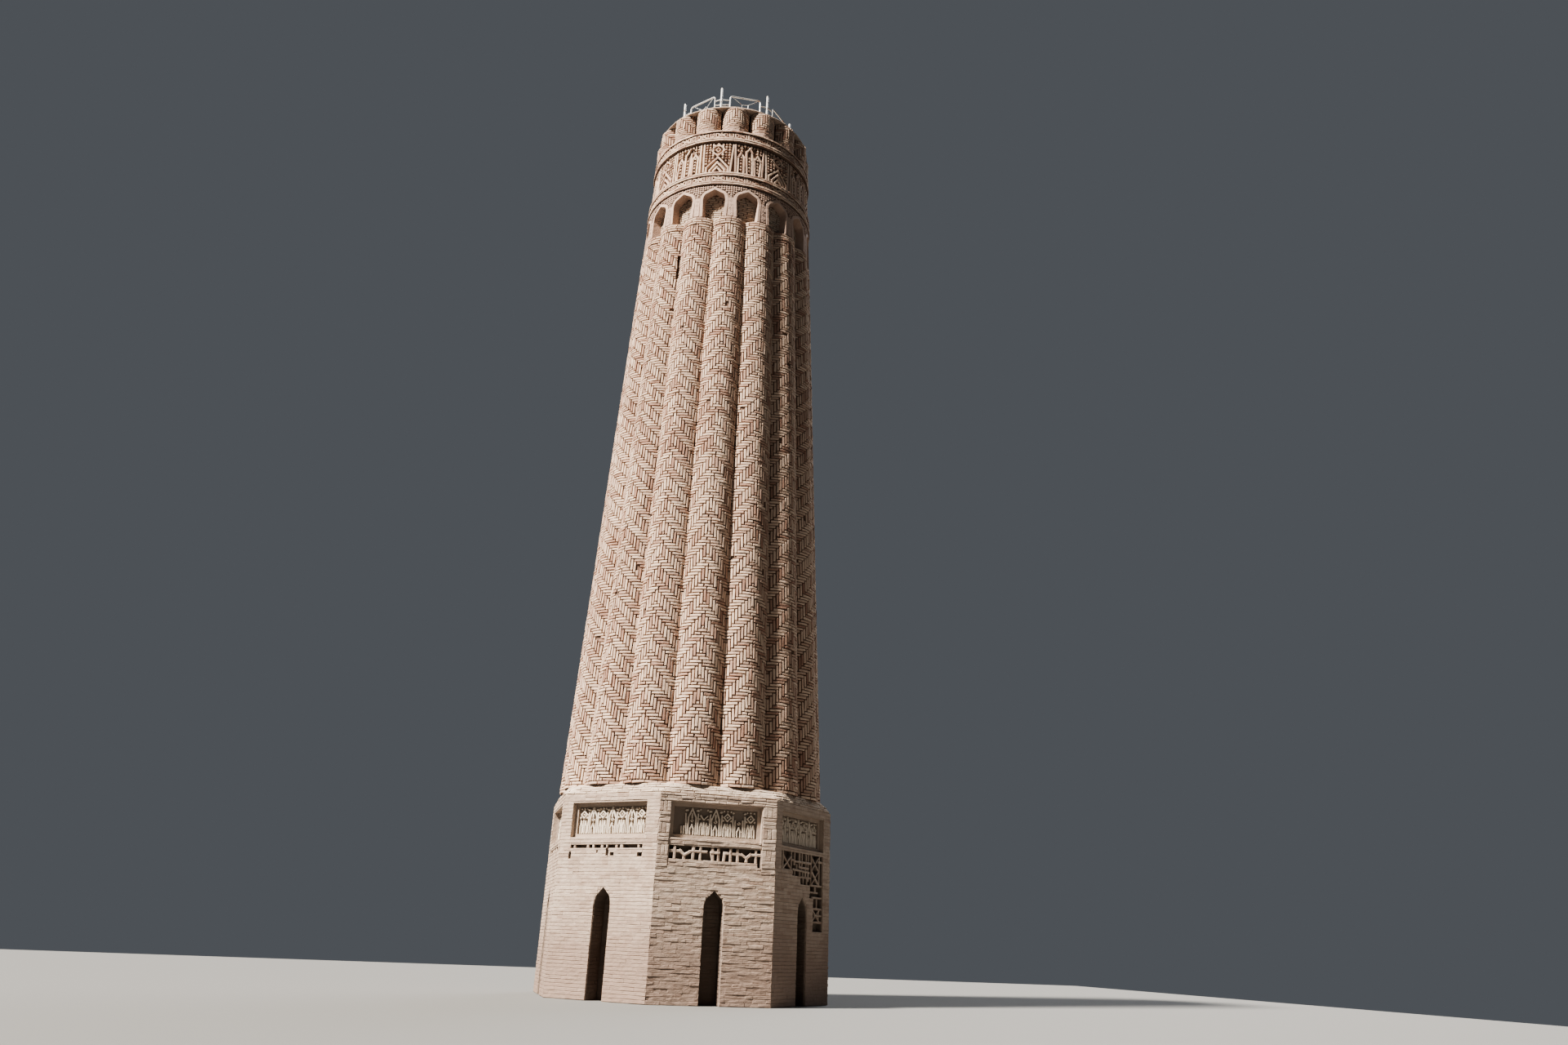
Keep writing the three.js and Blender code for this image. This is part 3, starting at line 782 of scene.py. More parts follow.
def lobe_limit(azimuth):
    """How far bricks reach from the crown. Two lobes stop short at the slot window."""
    def half_width(side, height):
        limit = lobe_ends(height)[1]
        beside_slot = abs(azimuth + side * LOBE_PITCH / 2 - SLOT_VALLEY) < 1
        if beside_slot and SLOT_FOOT < height < SLOT_TOP:
            limit -= SLOT_HALF
        return limit
    return half_width


def broken(spots, random):
    """A few bricks have lost one half."""
    kept = []
    for across, height, length, width, turn in spots:
        if random.random() < BROKEN_SHARE and length > 3 * width:
            shift = random.choice((-0.25, 0.25)) * length
            length /= 2
            across, height = (across, height + shift) if turn else (across + shift, height)
        kept.append((across, height, length, width, turn))
    return kept


for index in range(LOBES):
    azimuth = -180 + LOBE_PITCH * (index + 0.5)
    random = np.random.default_rng(100 + index)
    spots = broken(herringbone(lobe_limit(azimuth), herringbone_foot, herringbone_head, LOBE_PHASE), random)
    for seed, foot, head in ((120, bricks_foot, herringbone_foot), (140, herringbone_head, bricks_head)):
        spots += courses(
            lobe_ends, foot, head, seed + index, course=PITCH, joint=0.01, bed=JOINT, stretcher=0.26
        )
    standing = [spot for spot in spots if spot[4] == 90]
    level = [spot for spot in spots if spot[4] == 0]
    surface = lobe_surface(azimuth)
    wear = {"wear": 0.0028, "askew": 1.3, "play": 0.005, "chip": 0.008}
    parts = [lay(shaft_mould, standing, surface, 200 + index, **wear)]
    parts.append(lay(bent_mould, level, surface, 300 + index, **wear))
    build(f"shaft_bricks_{index + 1:02d}", parts, shaft_brick)
    hand_over(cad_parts[f"shaft_lobe_{index + 1:02d}"], joint_mortar)
print("bricks on one lobe:", len(spots))

# %% [markdown]
# ## The plinth's brickwork
#
# The eight faces are faced with level courses of flat bricks. Their upright joints are full and their
# beds are raked, so the wall reads as thinly lined, and low sun draws the lines darker on one face
# than on another. Courses stop at the arched niche, the panel and the pierced brickwork. The joints
# could be bumps in the finish, but only modelled bricks give the broken edges at those openings.
# %% Plinth courses
PANEL_HOLE = (-0.951, 0.891, 3.009, 3.691)
PLAIN_LATTICE = [(-0.92, 0.86, 2.795, 2.868)]
LATTICES = {
    "front": [(-0.95, 0.895, 2.61, 2.868), (0.825, 0.895, 2.52, 2.61)],
    "front_left": PLAIN_LATTICE + [
        (-0.945, -0.885, 2.59, 2.725),
        (-0.258, -0.218, 2.703, 2.748),
        (-0.021, 0.043, 2.65, 2.795),
        (0.088, 0.18, 2.65, 2.71),
        (0.742, 0.86, 2.635, 2.71),
    ],
    "front_right": [
        (-0.945, 0.88, 2.57, 2.92),
        (-0.47, 0.885, 2.46, 2.57),
        (-0.11, 0.89, 2.31, 2.46),
        (0.31, 0.895, 2.06, 2.31),
        (0.46, 0.905, 1.41, 2.06),
    ],
}
FRAME_FOOT, FRAME_LINTEL = 2.45, 3.7
FRAME_LEFT, FRAME_RIGHT = -0.965, 0.905
PLINTH_FOOT, PLINTH_HEAD = 0.006, PLINTH_TOP - CLEARANCE
plinth_mould = mould_brick(length=0.26, width=0.057, depth=0.009, edge=0.004)
frame_mould = mould_brick(length=0.26, width=0.057, depth=0.02, edge=0.007)
ROUGH_FACES = ("front", "right", "back")
ROUGH_FACE = {"wear": 0.003, "play": 0.003, "chip": 0.002, "askew": 0.7, "ridge": 0.008}
SMOOTH_FACE = {"wear": 0.0018, "play": 0.002, "chip": 0.0, "askew": 0.5, "ridge": 0.002}


def face_ends(height):
    reach = face_distance(height) * HALF_CORNER + CLEARANCE
    return -reach, reach


def face_holes(face):
    fixed = [PANEL_HOLE, *LATTICES.get(face, PLAIN_LATTICE)]
    if face == "front":
        fixed.append((-2, 2, FRAME_LINTEL, 4))
        fixed += [(-2, FRAME_LEFT, FRAME_FOOT, 4), (FRAME_RIGHT, 2, FRAME_FOOT, 4)]

    def holes(low, high):
        half = arch_half(low, niche_outline) if low < NICHE_APEX else 0
        arch = [(-half - CLEARANCE, half + CLEARANCE, low, high)] if half else []
        return fixed + arch
    return holes


for index, face in enumerate(FACES):
    spots = courses(
        face_ends, PLINTH_FOOT, PLINTH_HEAD, 400 + index, face_holes(face), joint=-0.003, bed=0.008
    )
    wear = ROUGH_FACE if face in ROUGH_FACES else SMOOTH_FACE
    parts = [lay(plinth_mould, spots, face_surface(FACE_TURN * index), 420 + index, **wear)]
    build(f"plinth_bricks_{face}", parts, plinth_brick)
    hand_over(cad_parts[f"plinth_{face}"], plinth_mortar)
print("bricks on one face:", len(spots))

# %% [markdown]
# ## The frame on the front face
#
# The front face alone keeps a prouder frame round its panel, of level bricks by turns with upright
# ones, under a lintel of thin courses. The frame could be one moulding, but its bricks are as worn
# as the rest, so each strip is divided into modules of three bricks and laid like the wall.
# %% The front face's frame
FRAME_COURSE, FRAME_JOINT, FRAME_BED = 0.0695, 0.01, 0.012
FRAME_WEAR = {"wear": 0.0035, "askew": 1.2, "play": 0.005, "chip": 0.008}
frame_spots = courses(face_ends, FRAME_LINTEL, PLINTH_HEAD, 440, course=0.052, joint=0.002, bed=0.01)
module = 3 * FRAME_COURSE
for step in range(round((FRAME_LINTEL - FRAME_FOOT) / module)):
    foot = FRAME_FOOT + step * module
    for left, right in ((face_ends(foot)[0], FRAME_LEFT), (FRAME_RIGHT, face_ends(foot)[1])):
        middle, width = (left + right) / 2, right - left
        for unit in range(3):
            if step % 2:
                across = left + width * (unit + 0.5) / 3
                long, wide = module - FRAME_JOINT, width / 3 - FRAME_JOINT
                frame_spots.append((across, foot + module / 2, long, wide, 90))
            else:
                up = foot + FRAME_COURSE * (unit + 0.5)
                frame_spots.append((middle, up, width - FRAME_BED, FRAME_COURSE - FRAME_BED, 0))
parts = [lay(frame_mould, frame_spots, face_surface(0), 441, **FRAME_WEAR)]
build("plinth_frame_front", parts, plinth_brick)
print("bricks in the frame:", len(frame_spots))

# %% [markdown]
# ## The plinth's niches
#
# Each niche is blind: a back and two cheeks under a pointed arch. Their bricks could be cut from the
# same courses as the wall, but each is laid as a small wall of its own, so that they turn the corner
# as real ones do. The bricks are shallow, and the opening keeps its width.
# %% Plinth niches
NICHE_BACK = FACE_AT_GROUND - NICHE_DEPTH
CHEEK_RUN = NICHE_DEPTH - 0.02  # a cheek's bricks stop short of the wall's own
CHEEK_START = 0.012  # how far behind the wall's face the left cheek begins
NICHE_HEAD = NICHE_APEX - 0.1
shallow_mould = mould_brick(length=0.26, width=0.057, depth=0.007, edge=0.003)


def niche_ends(height):
    half = arch_half(height + 0.03, niche_outline) - CLEARANCE
    return -half, half


for index, face in enumerate(FACES):
    azimuth = FACE_TURN * index
    back = courses(niche_ends, PLINTH_FOOT, NICHE_HEAD, 460 + index)
    cheek = courses(level_ends(CLEARANCE, CHEEK_RUN), PLINTH_FOOT, NICHE_SPRINGING, 480 + index)
    left_cheek = flat_surface(azimuth, FACE_AT_GROUND - CHEEK_START, side=-NICHE_HALF, facing=90)
    right_cheek = flat_surface(azimuth, NICHE_BACK, side=NICHE_HALF, facing=-90)
    parts = [
        lay(shallow_mould, back, flat_surface(azimuth, NICHE_BACK), 500 + index, play=0.002),
        lay(shallow_mould, cheek, left_cheek, 520 + index, play=0.002),
        lay(shallow_mould, cheek, right_cheek, 540 + index, play=0.002),
    ]
    # The finish paints shade into each niche, darker the deeper a point lies behind the face.
    build(f"niche_bricks_{face}", parts, plinth_brick)
print("bricks in one niche:", len(back) + 2 * len(cheek))

# %% [markdown]
# ## The pierced brickwork
#
# Under each panel runs a row of pierced brickwork: a recess bridged by short bars of cut brick. On
# one face it comes down in steps beside the niche, and there crossed bars fill many of its cells.
# The holes could be cut out of a plate, but each bar is a brick with its own lean and wear, so the bars are
# laid instead. They reach from the back of the recess nearly to the face, and what shows between them is
# dark: the finish paints shade there, darker the deeper it lies behind the face.
# %% Pierced brickwork
LATTICE_BACK = face_distance(3.01) - 0.12
LATTICE_BAR = 0.056
RAIL_AT, RAIL_DIP = 2.765, 0.07
lattice_mould = mould_brick(length=0.2, width=LATTICE_BAR, depth=0.114, edge=0.014)


def front_lattice():
    """A rail that dips twice, with uprights through it."""
    (left, right, low, high), dip = LATTICES["front"][0], RAIL_AT - RAIL_DIP
    rails = [
        [(left, RAIL_AT), (-0.725, RAIL_AT), (-0.644, dip), (-0.53, RAIL_AT), (-0.21, RAIL_AT)],
        [(-0.1, RAIL_AT), (0.04, RAIL_AT)],
        [(0.16, RAIL_AT), (0.513, RAIL_AT), (0.61, dip), (0.69, RAIL_AT), (right, RAIL_AT)],
    ]
    uprights = [(x, low, high) for x in (-0.834, -0.467, -0.324, -0.072, 0.037, 0.282, 0.425, 0.8)]
    uprights += [(0.159, low, RAIL_AT), (-0.644, low, dip), (0.61, low, dip)]
    spots = strokes(rails[0], LATTICE_BAR) + strokes(rails[1], LATTICE_BAR)
    spots += strokes([(-0.12, RAIL_AT), (-0.072, low)], 0.045) + strokes(rails[2], LATTICE_BAR)
    return spots + [upright(*place, LATTICE_BAR) for place in uprights]


def plain_lattice():
    left, right, low, high = PLAIN_LATTICE[0]
    return [upright(x, low, high, width) for x, width in (
        (-0.825, 0.05), (-0.485, 0.05), (-0.355, 0.05), (-0.145, 0.05),
        (-0.02, 0.04), (0.215, 0.05), (0.34, 0.08), (0.745, 0.05),
    )]


STEP_BAR, STEP_CROSS_BAR = 0.042, 0.04
STEP_CROSSES = [  # left, right, foot and head of each large cross
    (-0.84, -0.5, 2.57, 2.83),
    (0.42, 0.72, 2.62, 2.87),
    (0.42, 0.72, 2.34, 2.6),
    (0.5, 0.8, 1.62, 1.84),
]
STEP_UPRIGHTS = [  # across, foot and head
    (-0.86, 2.57, 2.92), (-0.48, 2.57, 2.92), (-0.36, 2.66, 2.92), (-0.14, 2.62, 2.92), (-0.02, 2.6, 2.92),
    (0.14, 2.6, 2.92), (0.26, 2.57, 2.92), (0.38, 2.31, 2.92), (0.76, 2.31, 2.92), (-0.25, 2.57, 2.7),
    (-0.33, 2.46, 2.57), (-0.12, 2.46, 2.57), (0.02, 2.46, 2.57), (0.14, 2.46, 2.57), (0.26, 2.38, 2.57),
    (0.06, 2.31, 2.44), (0.2, 2.31, 2.44), (0.58, 2.18, 2.31), (0.68, 1.86, 2.06), (0.76, 1.62, 1.84),
]
STEP_RAILS = [  # left, right and height
    (-0.5, -0.36, 2.76), (-0.36, 0.38, 2.745), (-0.14, 0.26, 2.64), (-0.4, 0.3, 2.575), (0.72, 0.88, 2.81),
    (-0.1, 0.38, 2.45), (0.38, 0.88, 2.32), (0.34, 0.7, 2.18), (0.46, 0.9, 2.08), (0.5, 0.9, 1.86),
    (0.5, 0.9, 1.6), (0.6, 0.88, 1.73),
]


def stepped_lattice():
    spots = [upright(*place, STEP_BAR) for place in STEP_UPRIGHTS]
    for left, right, height in STEP_RAILS:
        spots += strokes([(left, height), (right, height)], STEP_BAR)
    for left, right, low, high in STEP_CROSSES:
        for first, last in ((low, high), (high, low)):
            spots += strokes([(left, first), (right, last)], STEP_CROSS_BAR)
    return spots


SPECIAL_LATTICES = {"front": (front_lattice, 2.5), "front_right": (stepped_lattice, 0.7)}
for index, face in enumerate(FACES):
    draw, askew = SPECIAL_LATTICES.get(face, (plain_lattice, 2.5))
    spots, surface = draw(), flat_surface(FACE_TURN * index, LATTICE_BACK)
    parts = [lay(lattice_mould, spots, surface, 570 + index, wear=0.005, askew=askew, play=0.006)]
    build(f"pierced_bars_{face}", parts, plinth_brick)
    print("bars of", face, len(spots))

# %% [markdown]
# ## The carved panels
#
# Each face has a sunk panel of carved plaster under the top of the plinth. Here it holds a plain
# strapwork of lancets, lozenges and dots between tall uprights, cut as pale bars that stand well off
# their ground. A bump pattern could stand in for them, but these bars throw the shadows that make a
# carving readable from below. The front panel has lost its left end and some of its heads.
# %% Carved panels
PLATE_EDGE, PLATE_RELIEF = 0.014, 0.018
plate_low, plate_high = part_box("panel_front")
FIELD_BACK = -plate_low.y - PLATE_RELIEF
FIELD_LEFT, FIELD_RIGHT = plate_low.x + PLATE_EDGE, plate_high.x - PLATE_EDGE
FIELD_FOOT, FIELD_TOP = plate_low.z + PLATE_EDGE, plate_high.z - PLATE_EDGE
PANEL_CELLS = 7
STRAP = 0.029
strap_mould = mould_brick(length=0.2, width=STRAP, depth=0.052, edge=0.006)


def tall_cell(half, height):
    spots = lancet(0, 0.01, 0.66 * half, 0.62 * height, 0.97 * height, STRAP)
    spots += lancet(0, 0.01, 0.28 * half, 0.2 * height, 0.36 * height, STRAP)
    spots += square_ring(0, 0.52 * height, 0.018, 0.016, turn=45)
    spots += [upright(0, 0.6 * height, 0.8 * height, STRAP)]
    for side in (-1, 1):
        spots += dot(side * 0.8 * half, 0.9 * height, 0.03)
    return spots


def low_cell(half, height):
    spots = [upright(0, 0.01, 0.5 * height, STRAP)]
    for side in (-1, 1):
        spots += lancet(side * 0.44 * half, 0.01, 0.2 * half, 0.28 * height, 0.46 * height, STRAP)
        spots += dot(side * 0.7 * half, 0.6 * height, 0.03) + dot(side * 0.62 * half, 0.94 * height, 0.028)
    spots += square_ring(0, 0.72 * height, 0.05, 0.024, turn=45)
    return spots + dot(0, 0.72 * height, 0.03) + dot(0, 0.95 * height, 0.028)


def panel_spots():
    height = FIELD_TOP - FIELD_FOOT
    half = (FIELD_RIGHT - FIELD_LEFT) / PANEL_CELLS / 2
    spots = []
    for cell in range(PANEL_CELLS):
        middle = FIELD_LEFT + half * (2 * cell + 1)
        draw = tall_cell if cell % 2 else low_cell
        spots += shifted(draw(half, height), middle, FIELD_FOOT)
        if cell:
            edge = middle - half
            spots.append(upright(edge, FIELD_FOOT, FIELD_FOOT + 0.8 * height, STRAP))
            spots += dot(edge, FIELD_FOOT + 0.9 * height, 0.034)
    return spots


def without(spots, boxes):
    def kept(spot):
        return not any(a < spot[0] < b and c < spot[1] < d for a, b, c, d in boxes)
    return [spot for spot in spots if kept(spot)]


FRONT_LOSSES = [  # left, right, foot and head of each place that has lost its carving
    (-1, -0.64, 3.22, 4), (-1, -0.74, 3, 4), (0.33, 0.56, 3.38, 4), (-0.33, -0.22, 3.45, 4),
]
for index, face in enumerate(FACES):
    spots = without(panel_spots(), FRONT_LOSSES if face == "front" else [])
    surface = flat_surface(FACE_TURN * index, FIELD_BACK)
    parts = [lay(strap_mould, spots, surface, 600 + index, wear=0.0025, askew=1.8, play=0.004)]
    build(f"panel_relief_{face}", parts, plaster)
    hand_over(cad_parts[f"panel_{face}"], plaster_ground)
print("bars on one panel:", len(spots))

# %% [markdown]
# ## The offset at the foot of the shaft
#
# Between the plinth and the shaft lies a weathered slope of brickwork: eight-sided below and round
# above. Its core could be bridged from an octagon to a circle, but the octagon has too few points to
# wear away. So it starts as the wall of a cylinder, cut level a few times, with its points drawn out
# to the octagon at the bottom and in to the round at the top. Its rims are extruded in under the
# shaft and bridged, and a Displace modifier makes it rough.
# %% Core of the slope
SLOPE_SIDES = 360
SLOPE_CUTS = (0.25, 0.5, 0.75)
SLOPE_TOP_APOTHEM, SLOPE_TOP_ROUND = 2.781, 2.915
SLOPE_START, SLOPE_INNER, SLOPE_BEHIND = 2.9, 2.5, 0.008
SLOPE_BETWEEN = 2.6  # a radius between the slope's face and its back
SLOPE_HOLLOW = 1.3
slope_low, slope_high = (corner.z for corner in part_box("foot_course"))
slope_tall = slope_high - slope_low


def clouds(name, size):
    texture = bpy.data.textures.new(name, "CLOUDS")
    texture.noise_scale = size
    texture.noise_depth = 3
    return texture


def apply_modifier(piece, kind, **settings):
    select_only(piece)
    modifier = piece.modifiers.new(kind.title(), kind)
    for key, value in settings.items():
        setattr(modifier, key, value)
    bpy.ops.object.modifier_apply(modifier=modifier.name)


def octagon_reach(azimuth, apothem):
    return apothem / np.cos(np.radians((azimuth + FACE_TURN / 2) % FACE_TURN - FACE_TURN / 2))


def slope_reach(azimuth, share):
    """How far the slope stands from the axis, from its foot at a share of 0 to its head at 1."""
    foot = octagon_reach(azimuth, face_distance(slope_low))
    head = np.minimum(octagon_reach(azimuth, SLOPE_TOP_APOTHEM), SLOPE_TOP_ROUND)
    return foot + (head - foot) * share**SLOPE_HOLLOW


slope = start(
    bpy.ops.mesh.primitive_cylinder_add, vertices=SLOPE_SIDES, radius=SLOPE_START, depth=slope_tall,
    end_fill_type="NOTHING", location=(0, 0, (slope_low + slope_high) / 2),
)
for share in SLOPE_CUTS:
    bpy.ops.mesh.select_all(action="SELECT")
    bpy.ops.mesh.bisect(plane_co=(0, 0, slope_low + share * slope_tall), plane_no=(0, 0, 1))
for height in (slope_low, slope_high):
    pick(slope, lambda edge: all(abs(v.co.z - height) < 1e-4 for v in edge.verts), "edges")
    bpy.ops.mesh.extrude_edges_move()
    inwards = SLOPE_INNER / SLOPE_START
    bpy.ops.transform.resize(value=(inwards, inwards, 1), center_override=(0, 0, height))
pick(slope, lambda edge: all(v.co.xy.length < SLOPE_BETWEEN for v in edge.verts), "edges")
bpy.ops.mesh.bridge_edge_loops()
bpy.ops.object.mode_set(mode="OBJECT")
for vertex in slope.data.vertices:
    if vertex.co.xy.length > SLOPE_BETWEEN:
        azimuth = math.degrees(math.atan2(vertex.co.x, -vertex.co.y))
        reach = slope_reach(azimuth, (vertex.co.z - slope_low) / slope_tall) - SLOPE_BEHIND
        vertex.co.xy *= reach / vertex.co.xy.length
slope.name = "foot_slope"
apply_modifier(slope, "DISPLACE", texture=clouds("slope grit", 0.06), strength=0.012, mid_level=0.5)
hand_over(slope, plinth_mortar)
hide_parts("foot_course")
print("faces on the slope:", len(slope.data.polygons))

# %% [markdown]
# ## The slope's bricks
#
# Four ragged courses lie on the slope. They could be placed round the ring one by one, but they are
# set out flat like every wall, and a surface of their own bends them round the tower and leans them
# back up the slope.
# %% Bricks of the slope
RING_RADIUS, RING_RUN, RING_LEAN, RING_GAP = 2.95, 0.14, (0.8, 0.6), 0.02
slope_long = math.hypot(slope_tall, RING_RUN)
slope_mould = mould_brick(length=0.26, width=0.057, depth=0.018, edge=0.007, bends=True)


def slope_surface(across, along, out):
    """Across runs round the ring, and along runs up the slope."""
    turn = across / RING_RADIUS
    share = np.clip(along / slope_long, 0, 1)
    reach = slope_reach(np.degrees(turn), share) + RING_LEAN[0] * out
    height = slope_low + share * slope_tall + RING_LEAN[1] * out
    return to_space(reach * np.sin(turn), reach * np.cos(turn), height, 0)


ring_ends = level_ends(-math.pi * RING_RADIUS, math.pi * RING_RADIUS - RING_GAP)
slope_spots = courses(ring_ends, 0.003, slope_long, 450, course=0.058, joint=0.002, bed=0.009)
SLOPE_WEAR = {"sink": 0.008, "wear": 0.0035, "askew": 1.0, "play": 0.006, "chip": 0.008, "ridge": 0.008}
parts = [lay(slope_mould, slope_spots, slope_surface, 451, **SLOPE_WEAR)]
build("slope_bricks", parts, slope_brick)
print("bricks on the slope:", len(slope_spots))

# %% [markdown]
# ## The ring of small niches
#
# Sixteen pointed niches ring the head of the shaft, each over a valley between two lobes. Their
# backs are laid with smaller bricks, in broken courses with deep joints. The lobes' herringbone
# could run on into them, but the real ones are plain, which sets them off from the shaft.
# %% Niche backs
ARCH_HALF, ARCH_FOOT_HALF, ARCH_SPRINGING, ARCH_APEX = 0.288, 0.262, 18.56, 18.88
ARCH_BACK = 1.93
ARCH_HEAD = ARCH_APEX - 0.06
arch_side = arch_outline(ARCH_HALF, ARCH_FOOT_HALF, ARCADE_FOOT, ARCH_SPRINGING, ARCH_APEX)
QUARTERS = ["front", "right", "back", "left"]
cell_mould = mould_brick(length=0.22, width=0.046, depth=0.02, edge=0.006)


def quarter_azimuths(quarter):
    """The four niches of a quarter, each over a valley."""
    return [90 * quarter - 45 + LOBE_PITCH * step for step in range(4)]


def arch_ends(height):
    half = arch_half(height + 0.025, arch_side) - CLEARANCE
    return -half, half


NICHE_BRICKS = {"course": 0.0625, "joint": 0.017, "bed": 0.019, "stretcher": 0.225}
for quarter, name in enumerate(QUARTERS):
    parts = []
    for azimuth in quarter_azimuths(quarter):
        seed = 640 + round(azimuth)
        spots = courses(arch_ends, ARCADE_FOOT, ARCH_HEAD, seed, **NICHE_BRICKS)
        parts.append(lay(cell_mould, spots, flat_surface(azimuth, ARCH_BACK), seed, wear=0.003, chip=0.006))
    build(f"arcade_bricks_{name}", parts, niche_brick_with_painted_shade)
    hand_over(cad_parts[f"arcade_{name}"], arcade_ground)
print("bricks in one niche:", len(spots))

# %% [markdown]
# ## The plaster bands of the arches
#
# A smooth plaster band frames each small arch and lines it. A curve with a profile could follow the
# arch, but its bends would swell at the corners. So a grid is bent along the outline with mitred
# corners, then thickened and rounded by modifiers. It is made once, flat, and wrapped on the wall
# sixteen times.
# %% Arch bands
ARCH_BAND, BAND_PROUD, BAND_THICK, BAND_ROUND = 0.074, 0.008, 0.024, 0.011
REVEAL = 0.26


def both_sides(outline):
    """The whole outline, from the left foot over the apex to the right foot."""
    out, up = outline
    return np.concatenate([-out, out[-2::-1]]), np.concatenate([up, up[-2::-1]])


def offset_path(x, y, amount):
    """Moves a path outwards, with mitred corners."""
    run, rise = np.diff(x), np.diff(y)
    long = np.hypot(run, rise)
    left_x, left_y = -rise / long, run / long
    first_x, first_y = np.r_[left_x[0], left_x], np.r_[left_y[0], left_y]
    last_x, last_y = np.r_[left_x, left_x[-1]], np.r_[left_y, left_y[-1]]
    mitre = amount / (1 + first_x * last_x + first_y * last_y)
    return x + mitre * (first_x + last_x), y + mitre * (first_y + last_y)


def wrap(piece, name, surface, material):
    """Copies a piece modelled flat, as across, up and out, on to a surface of the tower."""
    mesh = piece.data.copy()
    points = np.empty(3 * len(mesh.vertices))
    mesh.vertices.foreach_get("co", points)
    across, height, out = points.reshape(-1, 3).T
    mesh.vertices.foreach_set("co", surface(across, height, out).ravel())
    mesh.name = name
    copy = bpy.data.objects.new(name, mesh)
    bpy.context.scene.collection.objects.link(copy)
    return hand_over(copy, material)


path_x, path_y = both_sides(arch_side)
inner = offset_path(path_x, path_y, -CLEARANCE)
outer = offset_path(path_x, path_y, ARCH_BAND)
band = start(bpy.ops.mesh.primitive_grid_add, x_subdivisions=len(path_x) - 1, y_subdivisions=2, size=2)
bpy.ops.object.mode_set(mode="OBJECT")
for vertex in band.data.vertices:
    step = round((vertex.co.x + 1) / 2 * (len(path_x) - 1))
    line = outer if vertex.co.y > 0.5 else inner
    out = -REVEAL if vertex.co.y < -0.5 else BAND_PROUD
    vertex.co = (line[0][step], line[1][step], out)
apply_modifier(band, "SOLIDIFY", thickness=BAND_THICK, offset=-1.0)
apply_modifier(band, "BEVEL", width=BAND_ROUND, segments=2, limit_method="ANGLE")
select_only(band)
bpy.ops.object.mode_set(mode="EDIT")
bpy.ops.mesh.select_all(action="SELECT")
bpy.ops.mesh.normals_make_consistent(inside=False)
bpy.ops.object.mode_set(mode="OBJECT")
for index in range(LOBES):
    surface = drum_surface(LOBE_PITCH * index, 0.0, ARCH_SPRINGING)
    wrap(band, f"arch_band_{index + 1:02d}", surface, arch_plaster)
bpy.data.objects.remove(band)
print("arch bands:", LOBES)

# %% [markdown]
# ## The tiles between the arches
#
# Over each pier the wall is set with small cut tiles, crosses by turns with lozenges, and below them
# a strip of plaster carries a few carved rings. The tiles could be an Array of one cross, but they
# stop along the curve of the arch, so each place on a grid is tested for room first.
# %% Tiles between the arches
TILE, TILE_ROOM = 0.062, 0.035
tile_mould = mould_brick(length=0.05, width=0.024, depth=0.014, edge=0.004)
outer_side = (outer[0][len(path_x) // 2:], outer[1][len(path_x) // 2:])
half_cell = math.radians(LOBE_PITCH / 2) * crown_radius(ARCH_SPRINGING)
TILES_FOOT, TILES_TOP = 18.62, ARCADE_TOP - 0.012


def room_between_arches(height):
    """Half the free width over a pier, at a height."""
    reach = float(np.interp(height, outer_side[1][::-1], outer_side[0][::-1], right=0))
    return half_cell - reach


tile_spots = []
rows = int((TILES_TOP - TILES_FOOT) / TILE)
columns = int(half_cell / TILE)
for row in range(rows):
    for column in range(-columns, columns + 1):
        x, y = column * TILE, TILES_FOOT + (row + 0.5) * TILE
        if abs(x) > room_between_arches(y) - TILE_ROOM:
            continue
        tile_spots += cross(x, y, 0.056, 0.024) if (row + column) % 2 else dot(x, y, 0.04)
PIER_WIDTH, PIER_RINGS, PIER_STEP = 0.13, 4, 0.12
pier_strip = [(0, (ARCADE_FOOT + TILES_FOOT) / 2 + 0.02, TILES_FOOT - ARCADE_FOOT - 0.02, PIER_WIDTH, 90)]
pier_mould = mould_brick(length=0.5, width=PIER_WIDTH, depth=0.005, edge=0.002)
pier_spots = []
for step in range(PIER_RINGS):
    up = ARCADE_FOOT + 0.13 + PIER_STEP * step
    pier_spots += square_ring(0, up, 0.026, 0.012, turn=45) + dot(0, up, 0.018)
for quarter, name in enumerate(QUARTERS):
    tiles, piers = [], []
    for azimuth in quarter_azimuths(quarter):
        surface = drum_surface(azimuth + LOBE_PITCH / 2, 0.0, ARCH_SPRINGING)
        seed = 700 + round(azimuth)
        tiles.append(lay(tile_mould, tile_spots, surface, seed, wear=0.001, askew=3))
        piers.append(lay(pier_mould, pier_strip, surface, seed, play=0.001))
        piers.append(lay(tile_mould, pier_spots, surface, seed, wear=0.001, sink=0.006))
    build(f"arcade_tiles_{name}", tiles, arch_plaster)
    build(f"arcade_piers_{name}", piers, arch_plaster)
print("tiles over one pier:", len(tile_spots))

# %% [markdown]
# ## The ribs
#
# Plain brick ribs ring the head and part its bands. A rib could be a ring with a round profile, but
# from below one can count its bricks, so each is laid from bricks that bend with the tower. Their
# number is rounded to fill the ring, which keeps the joints even.
# %% Ribs
RIB_FEET = [19.036, 19.096, 19.312, 19.372, 20.428, 20.49, 20.72]
RIB_HEIGHT = 0.048
RIB_BRICK, RIB_WIDTH, RIB_JOINT, RIB_SPARE = 0.255, 0.044, 0.004, 0.008
rib_mould = mould_brick(length=RIB_BRICK, width=RIB_WIDTH, depth=0.038, edge=0.008, bends=True)


def around(count, first=0.0):
    return [first + 360 * step / count for step in range(count)]


